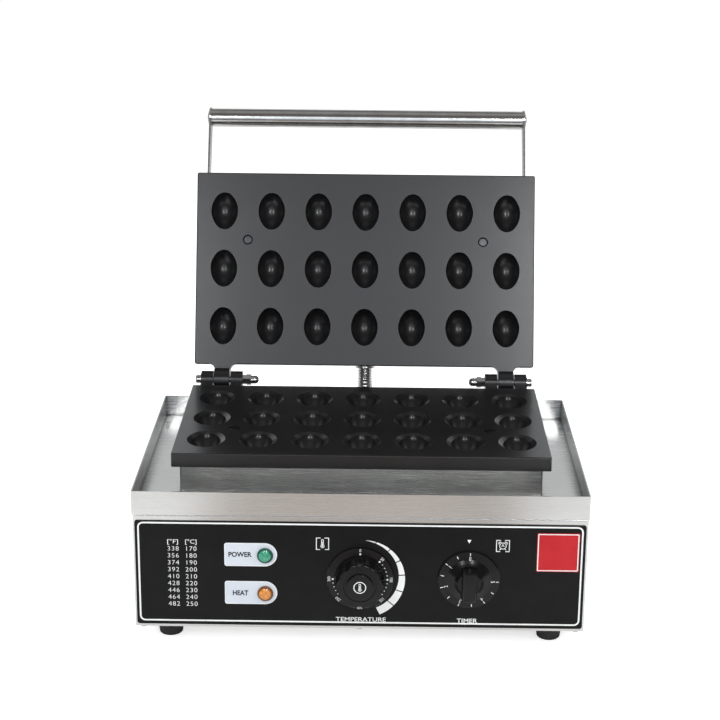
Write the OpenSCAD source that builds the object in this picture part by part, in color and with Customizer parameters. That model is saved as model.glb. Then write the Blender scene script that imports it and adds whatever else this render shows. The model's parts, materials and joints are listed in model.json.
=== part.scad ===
// Bubble waffle maker: a stainless base with a drip tray, and two cast egg-cell
// plates joined by a rear hinge. Millimetres, +Z up, front of the machine to -Y.
// Stored with the lid open. X and Y are zero at the middle of the whole box.

/* [Housing] */
// Width of the stainless housing
body_w = 409; // [400:1:430]
// Depth of the stainless housing
body_d = 261; // [255:1:280]
// Height of the stainless housing
body_h = 110.4; // [106:0.2:125]
// Stainless sheet thickness
sheet = 1.2; // [1:0.1:1.5]
// Height of the rubber feet
foot_h = 18; // [14:1:25]
// Top diameter of a rubber foot
foot_dia = 26; // [22:1:32]
// Distance of a foot's centre from the housing's sides
foot_inset = 29.2; // [24:0.2:40]

/* [Control fascia] */
// Width of the black control fascia
fascia_w = 405; // [390:1:408]
// Height of the black control fascia
fascia_h = 101.7; // [98:0.1:106]
// Thickness of the fascia
fascia_t = 0.8; // [0.6:0.1:1]
// Thermostat shaft, to the right of the middle
thermostat_x = 0.3; // [-10:0.1:10]
// Timer shaft, to the right of the middle
timer_x = 98.5; // [90:0.5:110]
// Height of both shafts above the floor
shaft_z = 69.3; // [65:0.1:75]
// Lamps, to the right of the middle
lamp_x = -85.4; // [-95:0.1:-80]

/* [Drip tray] */
// Outer width of the drip tray
tray_w = 410; // [405:1:430]
// Outer depth of the drip tray
tray_d = 265; // [262:1:284]
// Height of the tray's rim, floor sheet included
rim_h = 22.1; // [16:0.1:28]

/* [Baking plates] */
// Width of a plate
plate_w = 345; // [342:1:352]
// Depth of a plate
plate_d = 196; // [194:1:204]
// Height of a plate's edge
plate_t = 13.1; // [12.5:0.1:15]
// Columns of egg cells
cell_columns = 7; // [3:2:7]
// Rows of egg cells
cell_rows = 3; // [1:2:3]
// Distance between cell columns
column_pitch = 48; // [46:0.5:49]
// Distance between cell rows
row_pitch = 58.8; // [56:0.2:60]
// Half width of an egg cell, also its depth
cell_half_w = 13.6; // [12:0.1:14.5]
// Half length of an egg cell
cell_half_l = 18.9; // [17:0.1:20]

/* [Lid] */
// Angle by which the lid stands open
open_angle = 110; // [95:1:115]
// Distance of the hinge axis behind the plates
hinge_back = 15.4; // [14:0.1:18]
// Distance of a hinge from the middle
hinge_x = 144; // [120:1:144]
// Distance of the handle from the hinge axis
handle_reach = 274.5; // [250:0.5:300]
// Handle tube diameter
handle_dia = 19; // [16:0.5:22]

/* [Hidden] */
$fn = 48;

// heights above the floor
cover_t = 1;
shell_z = foot_h + cover_t;
shell_top = shell_z + body_h;
tray_floor = shell_top + sheet;
case_h = 29.4;
case_top = tray_floor + case_h;
tab_h = 2;
plate_face = case_top + tab_h + plate_t;
hinge_z = plate_face + 1;

// depths, from the middle of the base
front_y = -body_d / 2;
back_y = body_d / 2;
panel_t = 1;
panel_y = back_y + panel_t;
hinge_y = plate_d / 2 + hinge_back;

// the thermostat's cap and the handle set the depth of the whole box
grip_front = 19.6;
cap_rise = 1.3;
timer_front = 20;
handle_rise = 36.1;
arm_end_r = 10.5;
handle_back = hinge_y - handle_reach * cos(open_angle) + handle_rise * sin(open_angle);
base_y = -((handle_back + arm_end_r) + (front_y - grip_front - cap_rise)) / 2;

// housing
edge_r = 2;
corner_r = 2.5;
flange = 12;

// cast plates
web_t = 5;
skirt_side = 16;
skirt_front = 7;
boss_wall = 3.5;
cell_end_r = 10.3;
flare_axis = 25;
flare_half_w = 30.6;
flare_half_l = 37.8;
flare_end_r = 27;
plate_screw_x = 2.5 * column_pitch;
plate_screw_y = -row_pitch / 2;
bridge_drop = 27.6;
clamp_reach = 11;
heater_r = 4;

// heater cases
case_w = 331;
case_d = 178;
case_flange = 8;
tab_side = 4.3;
cover_w = 324;
cover_near = 24;
cover_far = 200;
cover_top = 52.5;
face_drop = 0.5;
plate_back = plate_t - face_drop;

// hinge
ear_near = 8.9;
ear_far = 20.9;
ear_r = 8.5;
knuckle_w = 15.6;
knuckle_r = 11.4;
heel_reach = 15.15;
pin_r = 3;
pin_bore_r = 3.05;

// handle arms
arm_t = 2;
arm_w = 20;
arm_start = 98;
arm_bend = 192;
arm_level = 23.5;
arm_screw_s = [108, 168];

// lamps
label_t = 0.8;
lamp_seat = fascia_t + label_t;

// conduit
hose_r = 7.5;
hose_root_r = 6.5;
hose_bore_r = 5.2;
rib_pitch = 2.7;
ferrule_r = 10;
ferrule_bore_r = 7.7;
base_fitting_x = 10;
base_fitting_z = 48;
lid_fitting_x = 1;
lid_fitting_rise = 29.5;
hose_straight = 15;
hose_reach = 110;
hose_pull = 35;
fitting_seat = 4;

// back panel fittings
cable_x = -150;
cable_z = 44;
cable_r = 4;
earth_x = -182;

// placing

// base parts are drawn about the middle of the base
module on_base() {
    translate([0, base_y, 0]) children();
}

// lid parts are drawn closed, about the hinge axis, with the front to -Y
module on_lid() {
    translate([0, base_y + hinge_y, hinge_z]) rotate([-open_angle, 0, 0]) children();
}

// fascia parts are drawn with X right, Y up and Z towards the user
module on_front(x, z) {
    translate([x, base_y + front_y, z]) rotate([90, 0, 0]) children();
}

// back fittings are drawn with Z away from the back panel
module on_back(x, z) {
    translate([x, base_y + panel_y, z]) rotate([-90, 0, 0]) children();
}

// shared shapes

module rounded_rect(w, d, r) {
    square([w - 2 * r, d], center = true);
    square([w, d - 2 * r], center = true);
    for (x = [-1, 1], y = [-1, 1])
        translate([x * (w / 2 - r), y * (d / 2 - r)]) circle(r = r);
}

// slot with round ends, along X
module slot(length, width) {
    square([length - width, width], center = true);
    for (x = [-1, 1]) translate([x * (length - width) / 2, 0]) circle(d = width);
}

// block standing on Z zero whose upright and upper edges are rounded
module soft_block(w, d, h, upright_r, upper_r) {
    intersection() {
        linear_extrude(h) rounded_rect(w, d, upright_r);
        rotate([90, 0, 90])
            linear_extrude(w + 2, center = true)
                translate([0, h / 2 - upper_r]) rounded_rect(d, h + 2 * upper_r, upper_r);
        rotate([90, 0, 0])
            linear_extrude(d + 2, center = true)
                translate([0, h / 2 - upper_r]) rounded_rect(w, h + 2 * upper_r, upper_r);
    }
}

// pan-head screw, head up from Z zero and shank down
module pan_screw(head_r, head_h, shank_r, shank_l) {
    rotate_extrude() {
        square([head_r, head_h * 0.5]);
        square([head_r - head_h * 0.5, head_h]);
        intersection() {
            translate([head_r - head_h * 0.5, head_h * 0.5]) circle(r = head_h * 0.5);
            translate([head_r - head_h, 0]) square([head_h, head_h]);
        }
        translate([0, -shank_l]) square([shank_r, shank_l + 0.5]);
    }
}

// hexagon across its flats, standing on Z zero
module hex(flats, h) {
    cylinder(r = flats / 2 / cos(30), h = h, $fn = 6);
}

// half of an oval drawn with four arcs, for a revolve
module half_oval(half_w, half_l, end_r) {
    end_y = half_l - end_r;
    flat = half_w - end_r;
    side_x = (end_y * end_y - flat * flat) / (2 * flat);
    side_r = half_w + side_x;
    tangent_y = side_r * end_y / (side_r - end_r);
    intersection() {
        union() {
            for (e = [-1, 1]) translate([0, e * end_y]) circle(r = end_r);
            intersection() {
                translate([-side_x, 0]) circle(r = side_r, $fn = 96);
                translate([-1, -tangent_y]) square([half_w + 2, 2 * tangent_y]);
            }
        }
        translate([0, -half_l - 1]) square([half_w + 1, 2 * half_l + 2]);
    }
}

// egg lying along Y
module egg(half_w, half_l, end_r) {
    rotate([90, 0, 0]) rotate_extrude() half_oval(half_w, half_l, end_r);
}

module at_cells() {
    for (i = [0:cell_columns - 1], j = [0:cell_rows - 1])
        translate([(i - (cell_columns - 1) / 2) * column_pitch,
                   (j - (cell_rows - 1) / 2) * row_pitch, 0])
            children();
}

module at_plate_screws() {
    for (x = [-1, 1]) translate([x * plate_screw_x, plate_screw_y, 0]) children();
}

// where the heating element is clamped to the plate
module at_clamps() {
    for (x = [-1, 1]) {
        translate([x * column_pitch * 1.5, row_pitch / 2, 0]) children();
        translate([x * column_pitch / 2, -row_pitch / 2, 0]) children();
    }
}

// Plate casting, its face on Z zero and its cells open upwards: a thin web with a
// skirt all round, an egg-shaped boss under every cell, pillars for the screws and
// four tabs that stand on the heater case.
module cast_plate(flared, tab_x, tab_y) {
    difference() {
        union() {
            difference() {
                translate([0, 0, -plate_t])
                    soft_block(plate_w, plate_d, plate_t, 2, 1);
                translate([skirt_side - plate_w / 2, skirt_front - plate_d / 2, -plate_t - 1])
                    cube([plate_w - 2 * skirt_side, plate_d - 2 * skirt_front, plate_t + 1 - web_t]);
            }
            at_cells() intersection() {
                egg(cell_half_w + boss_wall, cell_half_l + boss_wall, cell_end_r + boss_wall);
                translate([-20, -30, -20]) cube([40, 60, 18]);
            }
            at_plate_screws() translate([0, 0, -bridge_drop]) cylinder(r = 5.5, h = bridge_drop - 2.5);
            at_clamps() for (x = [-1, 1])
                translate([x * clamp_reach, 0, -web_t - 2 * heater_r])
                    cylinder(r = 3.5, h = 2 * heater_r + 1);
            for (x = [-1, 1], y = [-1, 1])
                translate([x * tab_x - tab_side / 2, y * tab_y - tab_side / 2, -plate_t - tab_h])
                    cube([tab_side, tab_side, tab_h + 2]);
        }
        at_cells() egg(cell_half_w, cell_half_l, cell_end_r);
        if (flared) at_cells() translate([0, 0, flare_axis])
            egg(flare_half_w, flare_half_l, flare_end_r);
        at_plate_screws() {
            translate([0, 0, -2.2]) cylinder(r = 5, h = 5);
            translate([0, 0, -bridge_drop - 1]) cylinder(r = 2.6, h = bridge_drop);
        }
        at_clamps() for (x = [-1, 1])
            translate([x * clamp_reach, 0, -web_t - 2 * heater_r - 1]) cylinder(r = 1.8, h = 9);
    }
}

module plate_screws() {
    at_plate_screws() translate([0, 0, -2.2]) pan_screw(4.4, 1.9, 2.5, 30);
}

// tubular element wound between the cell bosses, from one side to the other
module heating_element() {
    run_x = column_pitch / 2;
    bend_y = 62;
    end_y = -12;
    translate([0, 0, -web_t - heater_r]) {
        for (x = [-3, -1, 1, 3]) translate([x * run_x, 0, 0])
            rotate([90, 0, 0]) cylinder(r = heater_r, h = 2 * bend_y, center = true);
        for (x = [-4, 0, 4]) translate([x * run_x, bend_y, 0])
            rotate_extrude(angle = 180) translate([run_x, 0]) circle(r = heater_r);
        for (x = [-2, 2]) translate([x * run_x, -bend_y, 0])
            rotate([0, 0, 180]) rotate_extrude(angle = 180) translate([run_x, 0]) circle(r = heater_r);
        for (x = [-5, 5]) translate([x * run_x, end_y, 0]) rotate([90, 0, 0]) {
            translate([0, 0, end_y - bend_y]) cylinder(r = heater_r, h = bend_y - end_y);
            cylinder(r = 3.2, h = 4);
            cylinder(r = 1.5, h = 9);
        }
    }
}

module element_clamps() {
    at_clamps() translate([0, 0, -web_t - 2 * heater_r - 2]) difference() {
        linear_extrude(2) slot(2 * clamp_reach + 10, 10);
        for (x = [-1, 1]) translate([x * clamp_reach, 0, -1]) cylinder(r = 1.8, h = 4);
    }
}

module clamp_screws() {
    at_clamps() for (x = [-1, 1])
        translate([x * clamp_reach, 0, -web_t - 2 * heater_r - 2])
            rotate([180, 0, 0]) pan_screw(3.3, 2, 1.75, 9);
}

// channel across a heater case that takes the plate screws in two welded nuts
module case_bridge(length) {
    translate([0, plate_screw_y, -bridge_drop]) difference() {
        union() {
            translate([-length / 2, -12, -1.5]) cube([length, 24, 1.5]);
            for (y = [-12, 10.5]) translate([-length / 2, y, -5.5]) cube([length, 1.5, 5]);
            for (x = [-1, 1]) {
                translate([x * plate_screw_x, 0, -5.5]) hex(9, 5);
                translate([x * (length / 2 - 0.75) - 0.75, -12, -5.5]) cube([1.5, 24, 5]);
            }
        }
        for (x = [-1, 1]) translate([x * plate_screw_x, 0, -8]) cylinder(r = 2.6, h = 10);
    }
}

// base

module front_holes(depth) {
    for (x = [thermostat_x, timer_x]) translate([x, shaft_z]) {
        cylinder(r = 5, h = depth, center = true);
        for (s = [-14, 14]) translate([s, 0, 0]) cylinder(r = 2.05, h = depth, center = true);
    }
    for (z = lamp_heights()) translate([lamp_x, z, 0]) cylinder(r = 6.1, h = depth, center = true);
}

function lamp_heights() = [shaft_z + 21.8, shaft_z - 15.6];

function case_screw_places() =
    [for (x = [-1, 1], y = [-1, 1]) [x * (case_w / 2 - 7.2), y * 60]];

function panel_screw_places() = concat(
    [for (x = [-1, 1], z = [shell_z + 7, shell_top - 7]) [x * (body_w / 2 - 7), z]],
    [for (x = [-65, 65], z = [shell_z + 7, shell_top - 7]) [x, z]]);

function cover_screw_places() = concat(
    [for (x = [-1, 1], y = [-1, 1]) [x * (body_w / 2 - 7), y * (body_d / 2 - 7)]],
    [for (y = [-1, 1]) [0, y * (body_d / 2 - 7)]]);

function foot_places() =
    [for (x = [-1, 1], y = [-1, 1]) [x * (body_w / 2 - foot_inset), y * (body_d / 2 - foot_inset)]];

grommet_place = [17.5, 29.4];

module base_housing() {
    inner_w = body_w - 2 * sheet;
    inner_d = body_d - 2 * sheet;
    color("silver") on_base() difference() {
        translate([0, 0, shell_z]) soft_block(body_w, body_d, body_h, corner_r, edge_r);
        translate([-inner_w / 2, -inner_d / 2, shell_z + sheet])
            cube([inner_w, inner_d, body_h - 2 * sheet]);
        translate([flange - body_w / 2, flange - body_d / 2, shell_z - 1])
            cube([body_w - 2 * flange, body_d - 2 * flange, 4]);
        translate([flange - body_w / 2, back_y - 3, shell_z + flange])
            cube([body_w - 2 * flange, 5, body_h - 2 * flange]);
        translate([0, front_y, 0]) rotate([90, 0, 0]) front_holes(8);
        translate([grommet_place[0], grommet_place[1], shell_top - 4]) cylinder(r = 11, h = 8);
        for (p = case_screw_places()) translate([p[0], p[1], shell_top - 4]) cylinder(r = 2.1, h = 8);
        for (p = panel_screw_places())
            translate([p[0], back_y, p[1]]) rotate([90, 0, 0]) cylinder(r = 1.8, h = 8, center = true);
        for (p = cover_screw_places()) translate([p[0], p[1], shell_z - 2]) cylinder(r = 1.8, h = 6);
    }
}

module control_fascia() {
    color("dimgray") on_front(0, 0) difference() {
        translate([0, shell_z + 2.7 + fascia_h / 2, 0])
            linear_extrude(fascia_t) rounded_rect(fascia_w, fascia_h, 2.5);
        front_holes(8);
    }
}

module back_panel() {
    panel_w = body_w - 6;
    panel_h = body_h - 6;
    color("silver") on_back(0, 0) mirror([0, 1, 0]) difference() {
        translate([0, shell_z + body_h / 2, -panel_t])
            linear_extrude(panel_t) rounded_rect(panel_w, panel_h, 3);
        // louvre slots over the controls
        for (side = [-1, 1], i = [0:8])
            translate([side * 105 + (i - 4) * 9, shell_z + 72, -3])
                linear_extrude(6) rotate([0, 0, 90]) slot(36, 3.5);
        for (p = panel_screw_places()) translate([p[0], p[1], -3]) cylinder(r = 1.8, h = 6);
        translate([cable_x, cable_z, -3]) cylinder(r = 8.2, h = 6);
        translate([earth_x, cable_z, -3]) cylinder(r = 3.1, h = 6);
        translate([base_fitting_x, base_fitting_z, -3]) cylinder(r = 8.2, h = 6);
    }
}

module back_panel_screws() {
    color("silver") for (p = panel_screw_places())
        on_back(p[0], p[1]) pan_screw(3.5, 2.2, 1.7, 6);
}

module bottom_cover() {
    color("silver") on_base() difference() {
        translate([0, 0, foot_h]) linear_extrude(cover_t) rounded_rect(body_w - 6, body_d - 6, 3);
        for (side = [-1, 1], i = [0:7])
            translate([side * 75 + (i - 3.5) * 10, 0, foot_h - 1])
                linear_extrude(4) rotate([0, 0, 90]) slot(90, 4);
        for (p = foot_places()) translate([p[0], p[1], foot_h - 1]) cylinder(r = 2.1, h = 4);
        for (p = cover_screw_places()) translate([p[0], p[1], foot_h - 1]) cylinder(r = 1.8, h = 4);
    }
}

module bottom_cover_screws() {
    color("silver") on_base() for (p = cover_screw_places())
        translate([p[0], p[1], foot_h]) rotate([180, 0, 0]) pan_screw(3.5, 2.2, 1.7, 6);
}

module rubber_feet() {
    color("black") on_base() for (p = foot_places()) translate([p[0], p[1], 0]) rotate_extrude()
        difference() {
            polygon([[2.1, 0], [foot_dia / 2 - 3.2, 0], [foot_dia / 2 - 2.2, 1],
                     [foot_dia / 2, foot_h], [2.1, foot_h]]);
            translate([0, -1]) square([6, foot_h / 2 + 1]);
        }
}

module foot_screws() {
    color("silver") on_base() for (p = foot_places())
        translate([p[0], p[1], foot_h / 2]) rotate([180, 0, 0]) pan_screw(4, 2.6, 2, foot_h / 2 + 5.5);
}

module foot_nuts() {
    color("silver") on_base() for (p = foot_places()) translate([p[0], p[1], shell_z]) difference() {
        hex(7, 3.2);
        translate([0, 0, -1]) cylinder(r = 2.05, h = 6);
    }
}

module drip_tray() {
    color("silver") on_base() translate([0, 0, shell_top]) difference() {
        linear_extrude(rim_h) rounded_rect(tray_w, tray_d, 1.5);
        translate([0, 0, sheet]) linear_extrude(rim_h)
            rounded_rect(tray_w - 2 * sheet, tray_d - 2 * sheet, 0.5);
        translate([grommet_place[0], grommet_place[1], -1]) cylinder(r = 11, h = 4);
        for (p = case_screw_places()) translate([p[0], p[1], -1]) cylinder(r = 2.1, h = 4);
    }
}

module wire_grommet() {
    color("black") on_base() translate([grommet_place[0], grommet_place[1], tray_floor])
        rotate_extrude() {
            translate([8, -4.4]) square([2.9, 6.4]);
            translate([8, 0]) square([5, 2]);
            translate([8, -4.4]) square([5, 2]);
        }
}

module lower_heater_case() {
    color("silver") on_base() translate([0, 0, tray_floor]) difference() {
        linear_extrude(case_h) rounded_rect(case_w, case_d, 1.5);
        translate([0, 0, sheet]) linear_extrude(case_h - 2 * sheet)
            rounded_rect(case_w - 2 * sheet, case_d - 2 * sheet, 0.5);
        translate([0, 0, case_h - 3]) linear_extrude(6)
            rounded_rect(case_w - 2 * sheet - 2 * case_flange, case_d - 2 * sheet - 2 * case_flange, 1);
        translate([0, 0, -1]) linear_extrude(4)
            rounded_rect(case_w - 2 * flange, case_d - 2 * flange, 1);
        for (p = case_screw_places()) translate([p[0], p[1], -1]) cylinder(r = 2.1, h = 4);
    }
}

module heater_case_screws() {
    color("silver") on_base() for (p = case_screw_places())
        translate([p[0], p[1], tray_floor + sheet]) pan_screw(3.6, 2.4, 2, 9);
}

module lower_case_bridge() {
    color("silver") on_base() translate([0, 0, plate_face]) case_bridge(case_w - 2 * sheet);
}

module lower_insulation() {
    color("beige") on_base() translate([0, 0, tray_floor]) difference() {
        translate([-149, -73, 0]) cube([298, 146, 11.4]);
        translate([grommet_place[0], grommet_place[1], -1]) cylinder(r = 14, h = 20);
    }
}

// two ears and the bolt bores between them, about the hinge axis
module hinge_ears() {
    foot_y = -hinge_back - 1;
    for (side = [-1, 1], s = [-1, 1])
        translate([side * hinge_x + s * (ear_near + ear_far) / 2, 0, 0])
            rotate([90, 0, 90]) linear_extrude(ear_far - ear_near, center = true) difference() {
                union() {
                    circle(r = ear_r);
                    translate([foot_y, -plate_t + 1]) square([hinge_back + 1, plate_t - 2]);
                }
                circle(r = pin_bore_r);
            }
}

module lower_plate() {
    color("dimgray") on_base() {
        difference() {
            union() {
                translate([0, 0, plate_face]) cast_plate(true, case_w / 2 - 2.5, 86);
                translate([0, hinge_y, hinge_z]) hinge_ears();
            }
            translate([0, hinge_y, hinge_z]) rotate([0, 90, 0])
                cylinder(r = pin_bore_r, h = plate_w, center = true);
        }
    }
}

module lower_plate_screws() {
    color("silver") on_base() translate([0, 0, plate_face]) plate_screws();
}

module lower_heating_element() {
    color("gray") on_base() translate([0, 0, plate_face]) heating_element();
}

module lower_element_clamps() {
    color("silver") on_base() translate([0, 0, plate_face]) element_clamps();
}

module lower_clamp_screws() {
    color("silver") on_base() translate([0, 0, plate_face]) clamp_screws();
}

// controls

// control body behind the front, with its bushing and blind shaft bore
module control_body(w, h, depth) {
    difference() {
        union() {
            translate([-w / 2 - 2, -h / 2 - 2, -sheet - 1.5]) cube([w + 4, h + 4, 1.5]);
            translate([-w / 2, -h / 2, -sheet - 1.5 - depth]) cube([w, h, depth + 0.5]);
            translate([0, 0, -sheet - 1.5]) cylinder(r = 4.9, h = 4.6);
            for (x = [-12, -4, 4, 12])
                translate([x - 3.15, -0.4, -sheet - 9.5 - depth]) cube([6.3, 0.8, 9]);
        }
        translate([0, 0, -18]) cylinder(r = pin_bore_r, h = 40);
        for (s = [-14, 14]) translate([s, 0, -8]) cylinder(r = 2.05, h = 20);
    }
}

module thermostat_body() {
    color("burlywood") on_front(thermostat_x, shaft_z) control_body(38, 34, 25);
}

module timer_body() {
    color("gainsboro") on_front(timer_x, shaft_z) control_body(50, 46, 32);
}

module control_screws() {
    color("silver") for (x = [thermostat_x, timer_x], s = [-14, 14])
        on_front(x + s, shaft_z) translate([0, 0, fascia_t]) pan_screw(3.4, 2.1, 1.95, 7);
}

// bulb under the lower plate, its capillary led down to the thermostat
module thermostat_bulb() {
    bulb_z = plate_face - web_t - 2.5;
    run_z = shaft_z + 26;
    drop_x = grommet_place[0];
    run_y = grommet_place[1];
    end_y = front_y + 15;
    color("goldenrod") on_base() {
        translate([-16, run_y, bulb_z]) rotate([0, 90, 0]) cylinder(r = 2.5, h = 32);
        translate([15, run_y, bulb_z]) rotate([0, 90, 0]) cylinder(r = 0.8, h = drop_x - 15);
        for (z = [bulb_z, run_z]) translate([drop_x, run_y, z]) sphere(r = 0.8, $fn = 24);
        translate([drop_x, run_y, run_z]) cylinder(r = 0.8, h = bulb_z - run_z);
        translate([drop_x, end_y, run_z]) rotate([-90, 0, 0]) cylinder(r = 0.8, h = run_y - end_y);
        translate([drop_x, end_y, run_z]) sphere(r = 0.8, $fn = 24);
        translate([drop_x, end_y, shaft_z + 17]) cylinder(r = 0.8, h = run_z - shaft_z - 17);
    }
}

// D-section of a shaft's flatted end
module shaft_section() {
    intersection() {
        circle(r = pin_r);
        translate([-4, -4]) square([8, 6]);
    }
}

module spindle() {
    translate([0, 0, -16]) cylinder(r = pin_r, h = 21);
    translate([0, 0, 4]) linear_extrude(8.5) shaft_section();
}

module thermostat_spindle() {
    color("silver") on_front(thermostat_x, shaft_z) spindle();
}

module timer_spindle() {
    color("silver") on_front(timer_x, shaft_z) spindle();
}

// space behind a knob's skirt, round the hub
module knob_hollow(hub_r, rim_r, depth) {
    difference() {
        translate([0, 0, 1]) cylinder(r = rim_r, h = depth);
        translate([0, 0, 0]) cylinder(r = hub_r, h = depth + 3);
    }
}

// ten-lobed grip on a thin round skirt
module thermostat_knob() {
    color("dimgray") on_front(thermostat_x, shaft_z) difference() {
        union() {
            rotate_extrude($fn = 96)
                polygon([[0, 1.2], [30.6, 1.2], [30.6, 2], [29.9, 2.7], [23.6, 3.1], [22.8, 4.8], [0, 4.8]]);
            difference() {
                rotate_extrude($fn = 96) {
                    polygon([[0, 3], [22.8, 3], [22.8, 4.6], [21.8, 6.4], [21.3, grip_front - 1.5],
                             [19.8, grip_front], [0, grip_front]]);
                    translate([19.8, grip_front - 1.5]) circle(r = 1.5);
                }
                for (i = [0:9]) rotate([0, 0, 18 + i * 36])
                    translate([26.7, 0, 6.8]) cylinder(r = 7.5, h = 30, $fn = 96);
            }
        }
        // shallow dish round the cap, and the cap's seat
        translate([0, 0, grip_front - 0.6]) cylinder(r1 = 14.4, r2 = 15.4, h = 1.6, $fn = 96);
        translate([0, 0, grip_front - 4]) cylinder(r = 12.6, h = 10, $fn = 96);
        knob_hollow(7, 20, 4.2);
        translate([0, 0, 1]) linear_extrude(12.2) shaft_section();
        translate([0, 0, 1]) cylinder(r = pin_bore_r + 0.2, h = 5);
        translate([0, 0, 1]) cylinder(r = 5.4, h = 1.4);
    }
}

module thermostat_knob_cap() {
    color("dimgray") on_front(thermostat_x, shaft_z) translate([0, 0, grip_front - 4])
        rotate_extrude($fn = 96) {
            square([12.5, 2.6 + cap_rise]);
            square([11.1, 4 + cap_rise]);
            translate([11.1, 2.6 + cap_rise]) circle(r = 1.4);
        }
}

// bar grip with round ends on a thin skirt and a low hub
module timer_knob() {
    color("dimgray") on_front(timer_x, shaft_z) difference() {
        union() {
            rotate_extrude($fn = 96)
                polygon([[0, 1.2], [28.3, 1.2], [28.3, 2], [27.6, 2.7], [20.4, 3], [17.4, 4.8],
                         [13.4, 7.6], [10.5, 11], [0, 11]]);
            intersection() {
                rotate([90, 0, 0]) linear_extrude(50, center = true)
                    polygon([[-7.6, 4], [7.6, 4], [6, timer_front - 1.4], [4.8, timer_front],
                             [-4.8, timer_front], [-6, timer_front - 1.4]]);
                rotate([90, 0, 90]) linear_extrude(30, center = true)
                    polygon([[-16, 4], [16, 4], [14.3, timer_front - 1.6], [13, timer_front],
                             [-13, timer_front], [-14.3, timer_front - 1.6]]);
                translate([0, 0, 3.5]) cylinder(r1 = 15.6, r2 = 14.5, h = 20, $fn = 96);
            }
        }
        knob_hollow(7, 18, 2.4);
        translate([0, 0, 1]) linear_extrude(12.2) shaft_section();
        translate([0, 0, 1]) cylinder(r = pin_bore_r + 0.2, h = 5);
        translate([0, 0, 1]) cylinder(r = 5.4, h = 1.4);
    }
}

// printed plates behind the two lamps, round at the lamp's end
module lamp_label_plates() {
    label_h = 22.4;
    label_w = 47.5;
    color("lavender") for (z = lamp_heights()) on_front(lamp_x, z) translate([0, 0, fascia_t])
        linear_extrude(label_t) difference() {
            translate([-0.4, 0.4]) {
                circle(d = label_h);
                translate([(label_h / 2 - label_w) / 2 + 1, 0])
                    rounded_rect(label_w - label_h / 2 + 2, label_h, 2);
            }
            circle(r = 6.1);
        }
}

module lamp_bezels() {
    color("silver") for (z = lamp_heights()) on_front(lamp_x, z) difference() {
        union() {
            rotate_extrude()
                polygon([[0, -20], [6, -20], [6, lamp_seat], [7.25, lamp_seat], [7.25, lamp_seat + 1.6],
                         [6.4, lamp_seat + 2.6], [0, lamp_seat + 2.6]]);
            translate([0, 0, -sheet - 3.5]) hex(16, 3.5);
            for (x = [-3, 3]) translate([x - 1.4, -0.4, -27]) cube([2.8, 0.8, 8]);
        }
        translate([0, 0, lamp_seat]) cylinder(r = 5.9, h = 10);
    }
}

module lamp_lens() {
    translate([0, 0, lamp_seat]) rotate_extrude() intersection() {
        translate([0, -6.4]) circle(r = 10.4, $fn = 96);
        square([5.85, 5]);
    }
}

module power_lamp_lens() {
    color("palegreen") on_front(lamp_x, lamp_heights()[0]) lamp_lens();
}

module heat_lamp_lens() {
    color("orange") on_front(lamp_x, lamp_heights()[1]) lamp_lens();
}

module badge_plate() {
    color("red") on_front(177.9, shell_z + 78.1) translate([0, 0, fascia_t])
        linear_extrude(0.6) rounded_rect(38.2, 37.4, 0.8);
}

module terminal_block() {
    color("ivory") on_base() translate([-120, 60, shell_z]) difference() {
        translate([-31, -12, 0]) cube([62, 24, 20]);
        for (x = [-18, 0, 18]) {
            translate([x, 0, 12]) cylinder(r = 5, h = 10);
            translate([x, 0, 7]) rotate([90, 0, 0]) cylinder(r = 2.5, h = 30, center = true);
        }
        for (x = [-9, 9]) translate([x, 0, -1]) cylinder(r = 1.8, h = 30);
    }
}

// gland round its cable bore
module cable_gland() {
    color("black") on_back(cable_x, cable_z) difference() {
        union() {
            translate([0, 0, -panel_t - 4]) hex(22, 4);
            translate([0, 0, -panel_t - 6]) cylinder(r = 8, h = 8);
            hex(22, 6);
            rotate_extrude()
                polygon([[0, 5], [10.5, 5], [10.5, 14], [8.5, 20], [6.5, 22], [0, 22]]);
        }
        translate([0, 0, -10]) cylinder(r = cable_r, h = 40);
    }
}

module earth_stud() {
    color("goldenrod") on_back(earth_x, cable_z) {
        translate([0, 0, -panel_t - 4]) hex(10, 4);
        translate([0, 0, -panel_t - 1]) cylinder(r = 2.95, h = 14);
        cylinder(r = 6, h = 1.2);
        translate([0, 0, 1.2]) hex(10, 4.5);
    }
}

// conduit fitting through a wall: lock nut inside, hexagon and ferrule outside
module conduit_fitting(wall, ferrule_end) {
    difference() {
        union() {
            translate([0, 0, -wall - 4]) hex(22, 4);
            translate([0, 0, -wall - 5]) cylinder(r = 8, h = wall + 6);
            hex(22, 5);
            cylinder(r = ferrule_r, h = ferrule_end);
        }
        translate([0, 0, -20]) cylinder(r = hose_bore_r, h = 50);
        translate([0, 0, fitting_seat]) cylinder(r = ferrule_bore_r, h = 30);
    }
}

module base_conduit_fitting() {
    color("silver") on_back(base_fitting_x, base_fitting_z) conduit_fitting(panel_t, 15);
}

// hinge

// hinge hardware is drawn along its bolt, Z away from the middle of the machine
module at_hinges() {
    on_base() for (side = [-1, 1])
        translate([side * hinge_x, hinge_y, hinge_z]) rotate([0, side * 90, 0]) children();
}

module hinge_bolts() {
    color("silver") at_hinges() {
        rotate_extrude() polygon([[0, ear_far], [5.2, ear_far], [5.2, ear_far + 1], [4, ear_far + 1],
                                  [4, ear_far + 5.2], [3.2, ear_far + 6], [0, ear_far + 6]]);
        translate([0, 0, -33]) cylinder(r = pin_r, h = 33.5 + ear_far);
    }
}

module hinge_lock_nuts() {
    color("silver") at_hinges() translate([0, 0, -ear_far - 4]) difference() {
        hex(8.7, 4);
        translate([0, 0, -1]) cylinder(r = pin_bore_r, h = 6);
    }
}

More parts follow.
